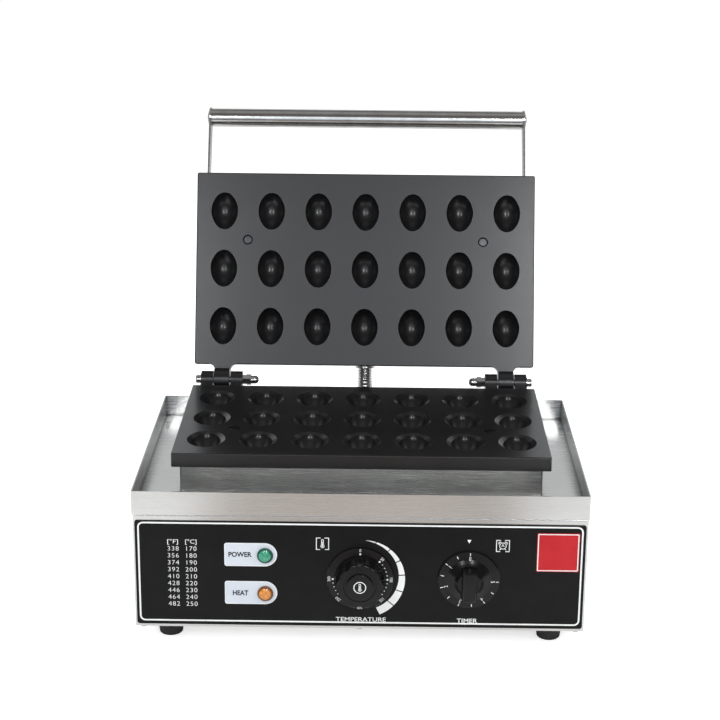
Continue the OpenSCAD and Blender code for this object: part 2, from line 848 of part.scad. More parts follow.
module hinge_dome_nuts() {
    color("silver") at_hinges() translate([0, 0, -ear_far - 4]) difference() {
        union() {
            translate([0, 0, -4.5]) hex(10, 4.5);
            rotate([180, 0, 0]) rotate_extrude() {
                square([4.1, 8.5]);
                intersection() {
                    translate([0, 8.5]) circle(r = 4.1);
                    square([5, 13]);
                }
            }
        }
        translate([0, 0, -8.5]) cylinder(r = pin_bore_r, h = 9);
    }
}

// bodies of the two knuckles that turn between the ears, lid closed
module hinge_knuckles() {
    fillet = 6;
    for (side = [-1, 1]) translate([side * hinge_x, 0, 0]) {
        intersection() {
            translate([0, 0, -face_drop]) linear_extrude(plate_t) {
                translate([-knuckle_w / 2, -hinge_back - 1]) square([knuckle_w, hinge_back + 1]);
                for (s = [-1, 1]) difference() {
                    translate([s * (knuckle_w + fillet) / 2, -hinge_back - 0.5 + fillet / 2])
                        square([fillet, fillet + 1], center = true);
                    translate([s * (knuckle_w / 2 + fillet), fillet - hinge_back]) circle(r = fillet);
                }
            }
            rotate([90, 0, 90]) linear_extrude(40, center = true)
                polygon([[-hinge_back - 1, -face_drop], [-hinge_back - 1, plate_back],
                         [-10, plate_back], [-4, 10.6], [-4, -face_drop]]);
        }
        rotate([0, 90, 0]) cylinder(r = knuckle_r, h = knuckle_w, center = true);
        // heel that meets the lower plate's back edge when the lid is open
        rotate([open_angle, 0, 0]) translate([-knuckle_w / 2, -heel_reach, -12])
            cube([knuckle_w, heel_reach, 8]);
    }
}

// lid

module on_upper_plate() {
    on_lid() translate([0, -hinge_back - plate_d / 2, -face_drop]) rotate([0, 180, 0]) children();
}

module upper_plate() {
    color("dimgray") difference() {
        union() {
            on_upper_plate() cast_plate(false, cover_w / 2 - 2.6, 80);
            on_lid() hinge_knuckles();
        }
        on_lid() rotate([0, 90, 0]) cylinder(r = pin_bore_r, h = plate_w, center = true);
    }
}

module upper_plate_screws() {
    color("silver") on_upper_plate() plate_screws();
}

module upper_heating_element() {
    color("gray") on_upper_plate() heating_element();
}

module upper_element_clamps() {
    color("silver") on_upper_plate() element_clamps();
}

module upper_clamp_screws() {
    color("silver") on_upper_plate() clamp_screws();
}

module lid_bridge() {
    color("silver") on_upper_plate() case_bridge(cover_w - 2 * sheet);
}

module upper_insulation() {
    low = bridge_drop + 5.5 - face_drop;
    color("beige") on_lid() translate([-150, -190, low])
        cube([300, 155, cover_top - sheet - low]);
}

// folded box over the upper plate, open towards it, with a flange turned in
module lid_cover() {
    d = cover_far - cover_near;
    h = cover_top - plate_back - tab_h;
    color("silver") on_lid() translate([0, -(cover_far + cover_near) / 2, plate_back + tab_h])
        difference() {
            soft_block(cover_w, d, h, 3, 4);
            translate([0, 0, sheet])
                soft_block(cover_w - 2 * sheet, d - 2 * sheet, h - 2 * sheet, 1.8, 2.8);
            translate([0, 0, -1]) linear_extrude(4)
                rounded_rect(cover_w - 2 * case_flange, d - 2 * case_flange, 1);
            translate([lid_fitting_x, d / 2, lid_fitting_rise - plate_back - tab_h])
                rotate([90, 0, 0]) cylinder(r = 8.2, h = 8, center = true);
            for (s = arm_screw_s)
                translate([0, (cover_far + cover_near) / 2 - s, arm_level - plate_back - tab_h])
                    rotate([0, 90, 0]) cylinder(r = 2.6, h = cover_w + 10, center = true);
        }
}

// flat strip with round ends between two points
module strip(from, to, w) {
    step = to - from;
    translate(from) rotate(atan2(step[1], step[0])) translate([0, -w / 2]) square([norm(step), w]);
    for (p = [from, to]) translate(p) circle(d = w);
}

// cranked flat bar from the cover's side to the handle
module handle_arm(side) {
    x = side > 0 ? cover_w / 2 : -cover_w / 2 - arm_t;
    on_lid() mirror([0, 1, 0]) rotate([90, 0, 90]) translate([0, 0, x]) linear_extrude(arm_t)
        difference() {
            union() {
                strip([arm_start, arm_level], [arm_bend, arm_level], arm_w);
                strip([arm_bend, arm_level], [handle_reach, handle_rise], arm_w);
                translate([handle_reach, handle_rise]) circle(r = arm_end_r);
            }
            for (s = arm_screw_s) translate([s, arm_level]) circle(r = 2.6);
            translate([handle_reach, handle_rise]) circle(r = 3.1);
        }
}

module handle_arm_left() {
    color("silver") handle_arm(-1);
}

module handle_arm_right() {
    color("silver") handle_arm(1);
}

module handle_tube() {
    color("silver") on_lid() translate([0, -handle_reach, handle_rise]) rotate([0, 90, 0])
        difference() {
            cylinder(d = handle_dia, h = cover_w, center = true);
            cylinder(d = handle_dia - 3, h = cover_w - 20, center = true);
            cylinder(r = pin_bore_r, h = cover_w + 2, center = true);
        }
}

// domed bolts that close the handle outside the arms
module handle_end_caps() {
    cap_r = 9.5;
    cap_h = 2.4;
    dome_r = (cap_r * cap_r + cap_h * cap_h) / (2 * cap_h);
    color("silver") on_lid() for (side = [-1, 1])
        translate([side * (cover_w / 2 + arm_t), -handle_reach, handle_rise])
            rotate([0, side * 90, 0]) rotate_extrude() {
                intersection() {
                    translate([0, cap_h - dome_r]) circle(r = dome_r, $fn = 128);
                    square([cap_r, cap_h + 1]);
                }
                translate([0, -12]) square([pin_r, 12.5]);
            }
}

module at_arm_screws() {
    on_lid() for (side = [-1, 1], s = arm_screw_s)
        translate([side * cover_w / 2, -s, arm_level]) rotate([0, side * 90, 0]) children();
}

module arm_screws() {
    color("silver") at_arm_screws() translate([0, 0, arm_t]) pan_screw(4.6, 2.8, 2.5, 9);
}

module arm_nuts() {
    color("silver") at_arm_screws() translate([0, 0, -sheet - 4]) difference() {
        hex(8, 4);
        translate([0, 0, -1]) cylinder(r = 2.55, h = 6);
    }
}

module lid_conduit_fitting() {
    color("silver") on_lid() translate([lid_fitting_x, -cover_near, lid_fitting_rise])
        rotate([-90, 0, 0]) conduit_fitting(sheet, 10);
}

// conduit: a ribbed hose in one curve from the back panel to the lid

// a point drawn with the lid closed, taken to the open lid
function opened(p) = [
    p[0],
    hinge_y + p[1] * cos(open_angle) + p[2] * sin(open_angle),
    hinge_z - p[1] * sin(open_angle) + p[2] * cos(open_angle)
];

hose_gap = 0.3;
lid_seat = fitting_seat - cover_near + hose_gap;
hose_start = [base_fitting_x, panel_y + fitting_seat, base_fitting_z];
hose_end = opened([lid_fitting_x, lid_seat, lid_fitting_rise]);
hose_bend = [
    hose_start + [0, hose_straight, 0],
    hose_start + [0, hose_straight + hose_reach, 0],
    opened([lid_fitting_x, lid_seat + hose_straight + hose_pull, lid_fitting_rise]),
    opened([lid_fitting_x, lid_seat + hose_straight, lid_fitting_rise])
];

function bezier(p, t) =
    pow(1 - t, 3) * p[0] + 3 * pow(1 - t, 2) * t * p[1]
    + 3 * (1 - t) * t * t * p[2] + t * t * t * p[3];

hose_path = concat([hose_start], [for (i = [0:60]) bezier(hose_bend, i / 60)], [hose_end]);
hose_steps = [for (i = [1:len(hose_path) - 1]) norm(hose_path[i] - hose_path[i - 1])];
hose_marks = [
    for (i = 0, s = 0; i < len(hose_path); s = s + (i < len(hose_steps) ? hose_steps[i] : 0), i = i + 1) s
];
hose_length = hose_marks[len(hose_marks) - 1];
hose_ribs = round(hose_length / rib_pitch);

function hose_at(s) =
    [for (k = [0:2]) lookup(s, [for (i = [0:len(hose_path) - 1]) [hose_marks[i], hose_path[i][k]]])];

// ring of eight points round the hose's middle line
function hose_ring(s, r) =
    let (
        ahead = hose_at(min(s + 1, hose_length)) - hose_at(max(s - 1, 0)),
        along = ahead / norm(ahead),
        up = cross(along, [1, 0, 0]),
        v = up / norm(up),
        u = cross(v, along)
    )
    [for (a = [0:45:315]) hose_at(s) + r * (cos(a) * u + sin(a) * v)];

module conduit() {
    sides = 8;
    outer_rings = 2 * hose_ribs + 1;
    bore_rings = floor(hose_ribs / 2) + 1;
    outer_points = [for (i = [0:outer_rings - 1]) each
        hose_ring(i * hose_length / (outer_rings - 1), i % 2 == 0 ? hose_root_r : hose_r)];
    bore_points = [for (i = [0:bore_rings - 1]) each
        hose_ring(i * hose_length / (bore_rings - 1), hose_bore_r)];
    first_bore = outer_rings * sides;
    last_outer = first_bore - sides;
    last_bore = first_bore + (bore_rings - 1) * sides;
    outer_faces = [for (i = [0:outer_rings - 2], k = [0:sides - 1]) each
        let (a = i * sides + k, b = i * sides + (k + 1) % sides)
        [[a, b, b + sides], [a, b + sides, a + sides]]];
    bore_faces = [for (i = [0:bore_rings - 2], k = [0:sides - 1]) each
        let (a = first_bore + i * sides + k, b = first_bore + i * sides + (k + 1) % sides)
        [[a, b + sides, b], [a, a + sides, b + sides]]];
    end_faces = [for (k = [0:sides - 1]) each
        let (m = (k + 1) % sides)
        [[k, first_bore + k, first_bore + m], [k, first_bore + m, m],
         [last_outer + k, last_bore + m, last_bore + k], [last_outer + k, last_outer + m, last_bore + m]]];
    color("silver") on_base()
        polyhedron(points = concat(outer_points, bore_points),
                   faces = concat(outer_faces, bore_faces, end_faces), convexity = 6);
}

base_housing();
control_fascia();
back_panel();
bottom_cover();
rubber_feet();
foot_screws();
foot_nuts();
back_panel_screws();
bottom_cover_screws();
drip_tray();
wire_grommet();
lower_heater_case();
heater_case_screws();
lower_case_bridge();
lower_plate();
lower_plate_screws();
lower_heating_element();
lower_element_clamps();
lower_clamp_screws();
lower_insulation();
thermostat_body();
thermostat_bulb();
timer_body();
control_screws();
lamp_label_plates();
lamp_bezels();
power_lamp_lens();
heat_lamp_lens();
badge_plate();
terminal_block();
cable_gland();
earth_stud();
base_conduit_fitting();
hinge_bolts();
hinge_lock_nuts();
hinge_dome_nuts();
conduit();
upper_plate();
upper_plate_screws();
upper_heating_element();
upper_element_clamps();
upper_clamp_screws();
upper_insulation();
lid_cover();
lid_bridge();
handle_arm_left();
handle_arm_right();
handle_tube();
handle_end_caps();
arm_screws();
arm_nuts();
lid_conduit_fitting();
thermostat_knob();
thermostat_knob_cap();
thermostat_spindle();
timer_knob();
timer_spindle();
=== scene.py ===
import json
import math
import bpy
from mathutils import Matrix, Vector


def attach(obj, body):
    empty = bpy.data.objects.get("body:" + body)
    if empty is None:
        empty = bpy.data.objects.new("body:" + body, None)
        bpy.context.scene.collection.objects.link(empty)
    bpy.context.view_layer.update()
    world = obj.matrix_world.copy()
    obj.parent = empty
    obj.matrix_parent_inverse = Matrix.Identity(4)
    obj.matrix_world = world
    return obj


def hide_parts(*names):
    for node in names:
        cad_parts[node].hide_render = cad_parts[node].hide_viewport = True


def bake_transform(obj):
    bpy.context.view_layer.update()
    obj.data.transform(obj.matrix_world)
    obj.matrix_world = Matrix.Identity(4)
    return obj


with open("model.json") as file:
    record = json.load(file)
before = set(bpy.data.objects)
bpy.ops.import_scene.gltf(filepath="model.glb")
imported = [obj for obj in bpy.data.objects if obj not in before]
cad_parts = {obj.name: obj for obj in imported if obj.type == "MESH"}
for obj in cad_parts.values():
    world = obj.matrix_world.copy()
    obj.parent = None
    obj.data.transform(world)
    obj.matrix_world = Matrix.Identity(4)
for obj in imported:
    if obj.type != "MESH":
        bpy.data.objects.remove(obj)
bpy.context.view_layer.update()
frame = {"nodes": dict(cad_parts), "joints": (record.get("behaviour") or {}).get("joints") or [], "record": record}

scene = bpy.context.scene
scene.view_settings.view_transform = "Standard"

# places are in millimetres; the hinge and the dials stand where the frame has them
mm = 0.001
joints = {joint["name"]: joint for joint in frame["joints"]}
hingeY, hingeZ = [place / mm for place in joints["lid_hinge"]["pos_m"][1:]]
openAngle = math.radians(joints["lid_hinge"]["range_deg"][1])
housingFront = hingeY - 243.9      # under the fascia
panelBack = hingeY + 18.1          # outside of the back panel


# camera, at the photograph's angle

cameraSettings = {
    "place": (0.0133, -1.6401, 0.7414),
    "target": (-0.0028, -0.05015, 0.23452),
    "lens": 88.2,
    "sensor": 36,
    "rollDegrees": 0.49,
}


def makeCamera(settings):
    place, target = Vector(settings["place"]), Vector(settings["target"])
    forward = (target - place).normalized()
    right = forward.cross(Vector((0, 0, 1))).normalized()
    up = right.cross(forward)
    roll = math.radians(settings["rollDegrees"])
    rolledRight = right * math.cos(roll) + up * math.sin(roll)
    rolledUp = up * math.cos(roll) - right * math.sin(roll)
    data = bpy.data.cameras.new("camera")
    data.lens = settings["lens"]
    data.sensor_width = settings["sensor"]
    camera = bpy.data.objects.new("camera", data)
    turn = Matrix((rolledRight, rolledUp, -forward)).transposed().to_4x4()
    camera.matrix_world = Matrix.Translation(place) @ turn
    scene.collection.objects.link(camera)
    scene.camera = camera


makeCamera(cameraSettings)
print("camera set")


# node helpers that the studio and the finishes share

colourSockets = {"low": 6, "high": 7, "result": 2}     # where a mix node keeps its colours


def mixColours(tree, share, low, high):
    # low where the share is 0, high where it is 1; each is a colour or another node's output
    mix = tree.nodes.new("ShaderNodeMix")
    mix.data_type = "RGBA"
    tree.links.new(share, mix.inputs["Factor"])
    for key, colour in (("low", low), ("high", high)):
        socket = mix.inputs[colourSockets[key]]
        if isinstance(colour, tuple):
            socket.default_value = (*colour, 1)
        else:
            tree.links.new(colour, socket)
    return mix.outputs[colourSockets["result"]]


def joinValues(tree, operation, first, second):
    node = tree.nodes.new("ShaderNodeMath")
    node.operation = operation
    tree.links.new(first, node.inputs[0])
    tree.links.new(second, node.inputs[1])
    return node.outputs[0]


def scaleColour(tree, colour, share):
    node = tree.nodes.new("ShaderNodeVectorMath")
    node.operation = "SCALE"
    tree.links.new(colour, node.inputs[0])
    tree.links.new(share, node.inputs["Scale"])
    return node.outputs["Vector"]


def spread(tree, value, low, high, fromLow=0.3, fromHigh=0.7, soft=False):
    # fromLow to fromHigh, where most of a noise lies, is stretched over low to high
    change = tree.nodes.new("ShaderNodeMapRange")
    change.interpolation_type = "SMOOTHSTEP" if soft else "LINEAR"
    change.inputs["From Min"].default_value = fromLow
    change.inputs["From Max"].default_value = fromHigh
    change.inputs["To Min"].default_value = low
    change.inputs["To Max"].default_value = high
    tree.links.new(value, change.inputs["Value"])
    return change.outputs["Result"]


# studio: pale floor, white room, softboxes

studioSettings = {
    "floorSize": 14.0,
    "floorColour": (0.86, 0.86, 0.86),
    "floorGlow": (0.62, 0.62, 0.62),       # what the camera sees on top of the lit floor
    "mirrorGlow": (0.04, 0.04, 0.04),      # the same for reflections
    "backdrop": (1.0, 1.0, 1.0),           # behind the floor, for the camera
    "ambient": (0.42, 0.42, 0.42),         # the room's light on the machine
    "ceiling": (0.15, 0.132, 0.124),
    "zenith": (0.34, 0.34, 0.34),
    "zenithEdge": (0.86, 0.99),
    "horizon": (0.72, 0.74, 0.75),
    "fade": (0.60, 0.76),    # height of a direction where the white ends and the dark ceiling begins
    "side": (0.05, 0.55),    # and how far it reaches round the sides
    "window": (0.06, -0.96, 0.26),
    "windowEdge": (0.885, 0.985),
    "windowColour": (1.0, 1.07, 1.17),
    "flagHeight": 0.004,
    "flagRoughness": 0.9,
    "flags": [
        # two corners and colour of each dark cloth on the floor, seen only in the metal
        ((-0.17, -0.74), (0.17, -0.36), (0.46, 0.41, 0.38)),
        ((-7.0, -7.0), (7.0, -0.75), (0.19, 0.182, 0.176)),
        ((-0.17, 0.09), (0.17, 0.26), (0.22, 0.20, 0.19)),
    ],
    "lamps": [
        # name, place, aims at, width, height, watts, shows in reflections
        ("softboxLeft", (-1.25, -1.15, 1.55), (0, 0, 0.2), 0.9, 1.2, 17, False),
        ("softboxRight", (1.35, -1.0, 1.45), (0, 0, 0.2), 0.8, 1.2, 13, False),
        ("softboxTop", (0.0, 0.15, 2.1), (0, 0, 0.2), 1.5, 0.9, 12, False),
        ("softboxBack", (0.3, 1.7, 1.3), (0, 0, 0.3), 1.4, 0.8, 9, False),
        ("stripLeft", (-0.58, -2.0, 1.18), (0, 0.1, 0.3), 0.13, 0.56, 5.8, True),
        ("stripRight", (0.51, -2.0, 1.18), (0, 0.1, 0.3), 0.14, 0.60, 8.4, True),
    ],
}


def mirrorRay(tree, rays):
    # rays that a shiny or a clear piece sends on
    shiny, clear = rays.outputs["Is Glossy Ray"], rays.outputs["Is Transmission Ray"]
    return joinValues(tree, "MAXIMUM", shiny, clear)


def floorPaint(settings):
    paint = bpy.data.materials.new("paleFloor")
    paint.use_nodes = True
    tree = paint.node_tree
    tree.nodes.clear()
    diffuse = tree.nodes.new("ShaderNodeBsdfDiffuse")
    diffuse.inputs["Color"].default_value = (*settings["floorColour"], 1)
    rays = tree.nodes.new("ShaderNodeLightPath")
    mirrored = mixColours(tree, mirrorRay(tree, rays), (0, 0, 0), settings["mirrorGlow"])
    seen = mixColours(tree, rays.outputs["Is Camera Ray"], mirrored, settings["floorGlow"])
    glow = tree.nodes.new("ShaderNodeEmission")
    tree.links.new(seen, glow.inputs["Color"])
    both = tree.nodes.new("ShaderNodeAddShader")
    tree.links.new(diffuse.outputs[0], both.inputs[0])
    tree.links.new(glow.outputs[0], both.inputs[1])
    out = tree.nodes.new("ShaderNodeOutputMaterial")
    tree.links.new(both.outputs[0], out.inputs["Surface"])
    return paint


def flagCloth(colour, roughness):
    cloth = bpy.data.materials.new("flagCloth")
    cloth.use_nodes = True
    shader = cloth.node_tree.nodes["Principled BSDF"]
    shader.inputs["Base Color"].default_value = (*colour, 1)
    shader.inputs["Roughness"].default_value = roughness
    return cloth


def flatSheet(name, nearLeft, farRight, height, material):
    (left, near), (right, far) = nearLeft, farRight
    corners = [(left, near, height), (right, near, height), (right, far, height), (left, far, height)]
    mesh = bpy.data.meshes.new(name)
    mesh.from_pydata(corners, [], [(0, 1, 2, 3)])
    mesh.materials.append(material)
    sheet = bpy.data.objects.new(name, mesh)
    scene.collection.objects.link(sheet)
    return sheet


def layFloor(settings):
    half = settings["floorSize"] / 2
    floor = flatSheet("studioFloor", (-half, -half), (half, half), 0, floorPaint(settings))
    for nearLeft, farRight, colour in settings["flags"]:
        cloth = flagCloth(colour, settings["flagRoughness"])
        flag = flatSheet("flag", nearLeft, farRight, settings["flagHeight"], cloth)
        flag.visible_camera = False
        flag.visible_diffuse = False
        flag.visible_shadow = False
        flag.visible_transmission = False


def paintRoom(settings):
    # white for the camera; in reflections only the back is white, the front and the ceiling are dark
    world = bpy.data.worlds.new("studio")
    scene.world = world
    world.use_nodes = True
    tree = world.node_tree
    tree.nodes.clear()
    direction = tree.nodes.new("ShaderNodeTexCoord").outputs["Generated"]
    split = tree.nodes.new("ShaderNodeSeparateXYZ")
    tree.links.new(direction, split.inputs[0])
    low = spread(tree, split.outputs["Z"], 1, 0, *settings["fade"], soft=True)
    behind = spread(tree, split.outputs["Y"], 0, 1, *settings["side"], soft=True)
    overhead = spread(tree, split.outputs["Z"], 0, 1, *settings["zenithEdge"], soft=True)
    ceiling = mixColours(tree, overhead, settings["ceiling"], settings["zenith"])
    room = mixColours(tree, joinValues(tree, "MULTIPLY", low, behind), ceiling, settings["horizon"])
    # a soft window in front, over the camera
    toward = tree.nodes.new("ShaderNodeVectorMath")
    toward.operation = "DOT_PRODUCT"
    toward.inputs[1].default_value = Vector(settings["window"]).normalized()
    tree.links.new(direction, toward.inputs[0])
    window = spread(tree, toward.outputs["Value"], 0, 1, *settings["windowEdge"], soft=True)
    room = mixColours(tree, window, room, settings["windowColour"])
    rays = tree.nodes.new("ShaderNodeLightPath")
    mirrored = mixColours(tree, mirrorRay(tree, rays), settings["ambient"], room)
    seen = mixColours(tree, rays.outputs["Is Camera Ray"], mirrored, settings["backdrop"])
    sky = tree.nodes.new("ShaderNodeBackground")
    tree.links.new(seen, sky.inputs["Color"])
    out = tree.nodes.new("ShaderNodeOutputWorld")
    tree.links.new(sky.outputs[0], out.inputs["Surface"])


def hangLamps(settings):
    for name, place, aim, width, height, watts, mirrors in settings["lamps"]:
        data = bpy.data.lights.new(name, "AREA")
        data.shape = "RECTANGLE"
        data.size = width
        data.size_y = height
        data.energy = watts
        lamp = bpy.data.objects.new(name, data)
        scene.collection.objects.link(lamp)
        lamp.visible_glossy = mirrors
        turn = (Vector(aim) - Vector(place)).to_track_quat("-Z", "Y").to_matrix().to_4x4()
        lamp.matrix_world = Matrix.Translation(Vector(place)) @ turn


layFloor(studioSettings)
paintRoom(studioSettings)
hangLamps(studioSettings)
print("studio set")


# what the finishes are made of

def startFinish(name, look, metallic=0.0):
    finish = bpy.data.materials.new(name)
    finish.use_nodes = True
    shader = finish.node_tree.nodes["Principled BSDF"]
    shader.inputs["Base Color"].default_value = (*look["light"], 1)
    shader.inputs["Roughness"].default_value = look["roughness"][0]
    shader.inputs["Metallic"].default_value = metallic
    return finish, finish.node_tree, shader


def noise(tree, scale, detail=3.0, roughness=0.55):
    # on the piece's own coordinates; one scale, or one for each axis
    place = tree.nodes.new("ShaderNodeTexCoord")
    mapping = tree.nodes.new("ShaderNodeMapping")
    mapping.inputs["Scale"].default_value = scale if isinstance(scale, tuple) else (scale, scale, scale)
    tree.links.new(place.outputs["Object"], mapping.inputs["Vector"])
    pattern = tree.nodes.new("ShaderNodeTexNoise")
    pattern.inputs["Scale"].default_value = 1.0
    pattern.inputs["Detail"].default_value = detail
    pattern.inputs["Roughness"].default_value = roughness
    tree.links.new(mapping.outputs["Vector"], pattern.inputs["Vector"])
    return pattern.outputs["Fac"]


def tint(tree, value, dark, light, fromLow=0.3, fromHigh=0.7, middle=None):
    # dark to light over the same stretch, with a third colour halfway where one is given
    ramp = tree.nodes.new("ShaderNodeValToRGB")
    stops = ramp.color_ramp.elements
    stops[0].position = fromLow
    stops[0].color = (*dark, 1)
    stops[1].position = fromHigh
    stops[1].color = (*light, 1)
    if middle:
        stops.new((fromLow + fromHigh) / 2).color = (*middle, 1)
    tree.links.new(value, ramp.inputs["Fac"])
    return ramp.outputs["Color"]


def addBump(tree, shader, height, strength, distance, under=None):
    bump = tree.nodes.new("ShaderNodeBump")
    bump.inputs["Strength"].default_value = strength
    bump.inputs["Distance"].default_value = distance
    tree.links.new(height, bump.inputs["Height"])
    if under is not None:
        tree.links.new(under, bump.inputs["Normal"])
    tree.links.new(bump.outputs["Normal"], shader.inputs["Normal"])
    return bump.outputs["Normal"]


openRays = 8


def openShare(tree, reach, fromLow, fromHigh, low, high):
    # how open the surface is to the room within a short reach, low deep in a fold or a cell
    around = tree.nodes.new("ShaderNodeAmbientOcclusion")
    around.samples = openRays
    around.inputs["Distance"].default_value = reach
    return spread(tree, around.outputs["AO"], low, high, fromLow, fromHigh)


# brushed stainless: housing, back panel, bottom cover, tray, heater case, lid cover and handle arms

steelLook = {
    "dark": (0.60, 0.60, 0.59),
    "light": (0.69, 0.69, 0.68),
    "roughness": (0.21, 0.29),
    "grain": (14.0, 2400.0, 2400.0),     # brushed along X
    "cloud": (7, 9, 11),
    "foldShadeShare": 0.30,       # painted shade: colour left deep in a fold
    "foldShadeReach": 0.006,
    "foldShadeEdges": (0.35, 0.85),
    "bump": (0.05, 0.0002),
}


def brushedSteel(name, look):
    finish, tree, shader = startFinish(name, look, 1.0)
    grain = noise(tree, look["grain"], detail=2.0, roughness=0.6)
    colour = tint(tree, noise(tree, look["cloud"]), look["dark"], look["light"])
    # painted shade where two sheets meet, darker deep in a fold
    fold = openShare(tree, look["foldShadeReach"], *look["foldShadeEdges"], look["foldShadeShare"], 1.0)
    tree.links.new(scaleColour(tree, colour, fold), shader.inputs["Base Color"])
    tree.links.new(spread(tree, grain, *look["roughness"]), shader.inputs["Roughness"])
    addBump(tree, shader, grain, *look["bump"])
    return finish


# screws, bolts, spindles, handle tube, brass pieces and the wound conduit

turnedCloud, turnedFine = 60, 900
turnedBump = (0.04, 0.0001)
turnedLooks = {
    "polished_steel": {
        "dark": (0.52, 0.52, 0.51),
        "light": (0.66, 0.66, 0.65),
        "roughness": (0.12, 0.24),
    },
    "blackened_steel": {
        "dark": (0.055, 0.055, 0.06),
        "light": (0.10, 0.10, 0.105),
        "roughness": (0.28, 0.42),
    },
    "brass_bare": {
        "dark": (0.58, 0.40, 0.17),
        "light": (0.72, 0.52, 0.24),
        "roughness": (0.20, 0.36),
    },
    "conduit_steel": {
        "dark": (0.56, 0.56, 0.55),
        "light": (0.70, 0.70, 0.69),
        "roughness": (0.22, 0.34),
    },
}


def turnedMetal(name, look):
    finish, tree, shader = startFinish(name, look, 1.0)
    fine = noise(tree, turnedFine, detail=2.0)
    colour = tint(tree, noise(tree, turnedCloud, detail=4.0), look["dark"], look["light"])
    tree.links.new(colour, shader.inputs["Base Color"])
    tree.links.new(spread(tree, fine, *look["roughness"]), shader.inputs["Roughness"])
    addBump(tree, shader, fine, *turnedBump)
    return finish


# galvanised bridges and clamps inside the machine

galvanisedLook = {
    "dark": (0.36, 0.37, 0.38),
    "light": (0.56, 0.57, 0.58),
    "roughness": (0.30, 0.50),
    "flake": 95.0,
    "fine": 500,
    "bump": (0.06, 0.0002),
}


def galvanisedSheet(name, look):
    finish, tree, shader = startFinish(name, look, 1.0)
    place = tree.nodes.new("ShaderNodeTexCoord")
    flakes = tree.nodes.new("ShaderNodeTexVoronoi")
    flakes.inputs["Scale"].default_value = look["flake"]
    tree.links.new(place.outputs["Object"], flakes.inputs["Vector"])
    split = tree.nodes.new("ShaderNodeSeparateColor")
    tree.links.new(flakes.outputs["Color"], split.inputs["Color"])
    # each flake has a shade and a shine of its own
    colour = tint(tree, split.outputs[0], look["dark"], look["light"], fromLow=0.0, fromHigh=1.0)
    shine = spread(tree, split.outputs[1], *look["roughness"], fromLow=0.0, fromHigh=1.0)
    tree.links.new(colour, shader.inputs["Base Color"])
    tree.links.new(shine, shader.inputs["Roughness"])
    addBump(tree, shader, noise(tree, look["fine"]), *look["bump"])
    return finish


# the two cast plates under their non-stick coat

castLook = {
    "dark": (0.0045, 0.0045, 0.005),
    "light": (0.008, 0.008, 0.009),
    "roughness": (0.30, 0.38),
    "specular": 0.38,
    "hollowShare": 0.75,         # shine left deep in a cell
    "hollowReach": 0.030,
    "hollowEdges": (0.45, 0.95),
    "coat": 0.42,
    "coatRoughness": 0.19,
    "patch": 22,
    "patchShares": (0.1, 0.6),
    "speckle": 1500,
    "speckleShare": 0.35,
    "shadeEdges": (0.15, 0.85),
    "skin": 420,
    "skinBump": (0.02, 0.0003),
    "speckleBump": (0.02, 0.0001),
}


def nonstickCasting(name, look):
    finish, tree, shader = startFinish(name, look)
    deep, shine = look["specular"] * look["hollowShare"], look["specular"]
    hollow = openShare(tree, look["hollowReach"], *look["hollowEdges"], deep, shine)
    tree.links.new(hollow, shader.inputs["Specular IOR Level"])
    shader.inputs["Coat Weight"].default_value = look["coat"]
    shader.inputs["Coat Roughness"].default_value = look["coatRoughness"]
    speckle = noise(tree, look["speckle"], detail=2.0, roughness=0.7)
    skin = noise(tree, look["skin"])
    # speckles on top of broad patches
    shade = tree.nodes.new("ShaderNodeMath")
    shade.operation = "MULTIPLY_ADD"
    shade.inputs[1].default_value = look["speckleShare"]
    tree.links.new(speckle, shade.inputs[0])
    patches = spread(tree, noise(tree, look["patch"], detail=4.0), *look["patchShares"])
    tree.links.new(patches, shade.inputs[2])
    colour = tint(tree, shade.outputs[0], look["dark"], look["light"], *look["shadeEdges"])
    tree.links.new(colour, shader.inputs["Base Color"])
    tree.links.new(spread(tree, skin, *look["roughness"]), shader.inputs["Roughness"])
    first = addBump(tree, shader, skin, *look["skinBump"])
    addBump(tree, shader, speckle, *look["speckleBump"], first)
    return finish


# moulded, painted, enamelled and printed pieces

mouldedBase = {
    "cloud": 45,
    "grain": 900,
    "coat": 0.0,
    "coatRoughness": 0.12,
    "specular": 0.5,
    "bump": (0.08, 0.0001),
}
mouldedLooks = {
    "fascia_black": {
        "dark": (0.003, 0.003, 0.0033),
        "light": (0.005, 0.005, 0.0055),
        "roughness": (0.34, 0.44),
        "grain": 1400,
        "specular": 0.18,
    },
    "rubber_black": {
        "dark": (0.012, 0.012, 0.012),
        "light": (0.022, 0.022, 0.022),
        "roughness": (0.62, 0.80),
        "grain": 700,
    },
    "knob_black": {
        "dark": (0.003, 0.003, 0.0033),
        "light": (0.005, 0.005, 0.0055),
        "roughness": (0.20, 0.28),
        "grain": 1100,
        "coat": 0.12,
        "specular": 0.24,
    },
    "gland_black": {
        "dark": (0.018, 0.018, 0.019),
        "light": (0.028, 0.028, 0.029),
        "roughness": (0.40, 0.52),
        "grain": 800,
    },
    "control_case": {
        "dark": (0.10, 0.09, 0.08),
        "light": (0.14, 0.13, 0.12),
        "roughness": (0.45, 0.60),
        "grain": 600,
    },
    "terminal_ceramic": {
        "dark": (0.66, 0.63, 0.56),
        "light": (0.76, 0.74, 0.68),
        "roughness": (0.18, 0.30),
        "grain": 300,
    },
    "label_pale": {
        "dark": (0.56, 0.61, 0.68),
        "light": (0.61, 0.66, 0.73),
        "roughness": (0.30, 0.40),
        "grain": 1200,
    },
    "badge_red": {
        "dark": (0.44, 0.012, 0.018),
        "light": (0.50, 0.018, 0.024),
        "roughness": (0.32, 0.42),
        "specular": 0.25,
    },
}
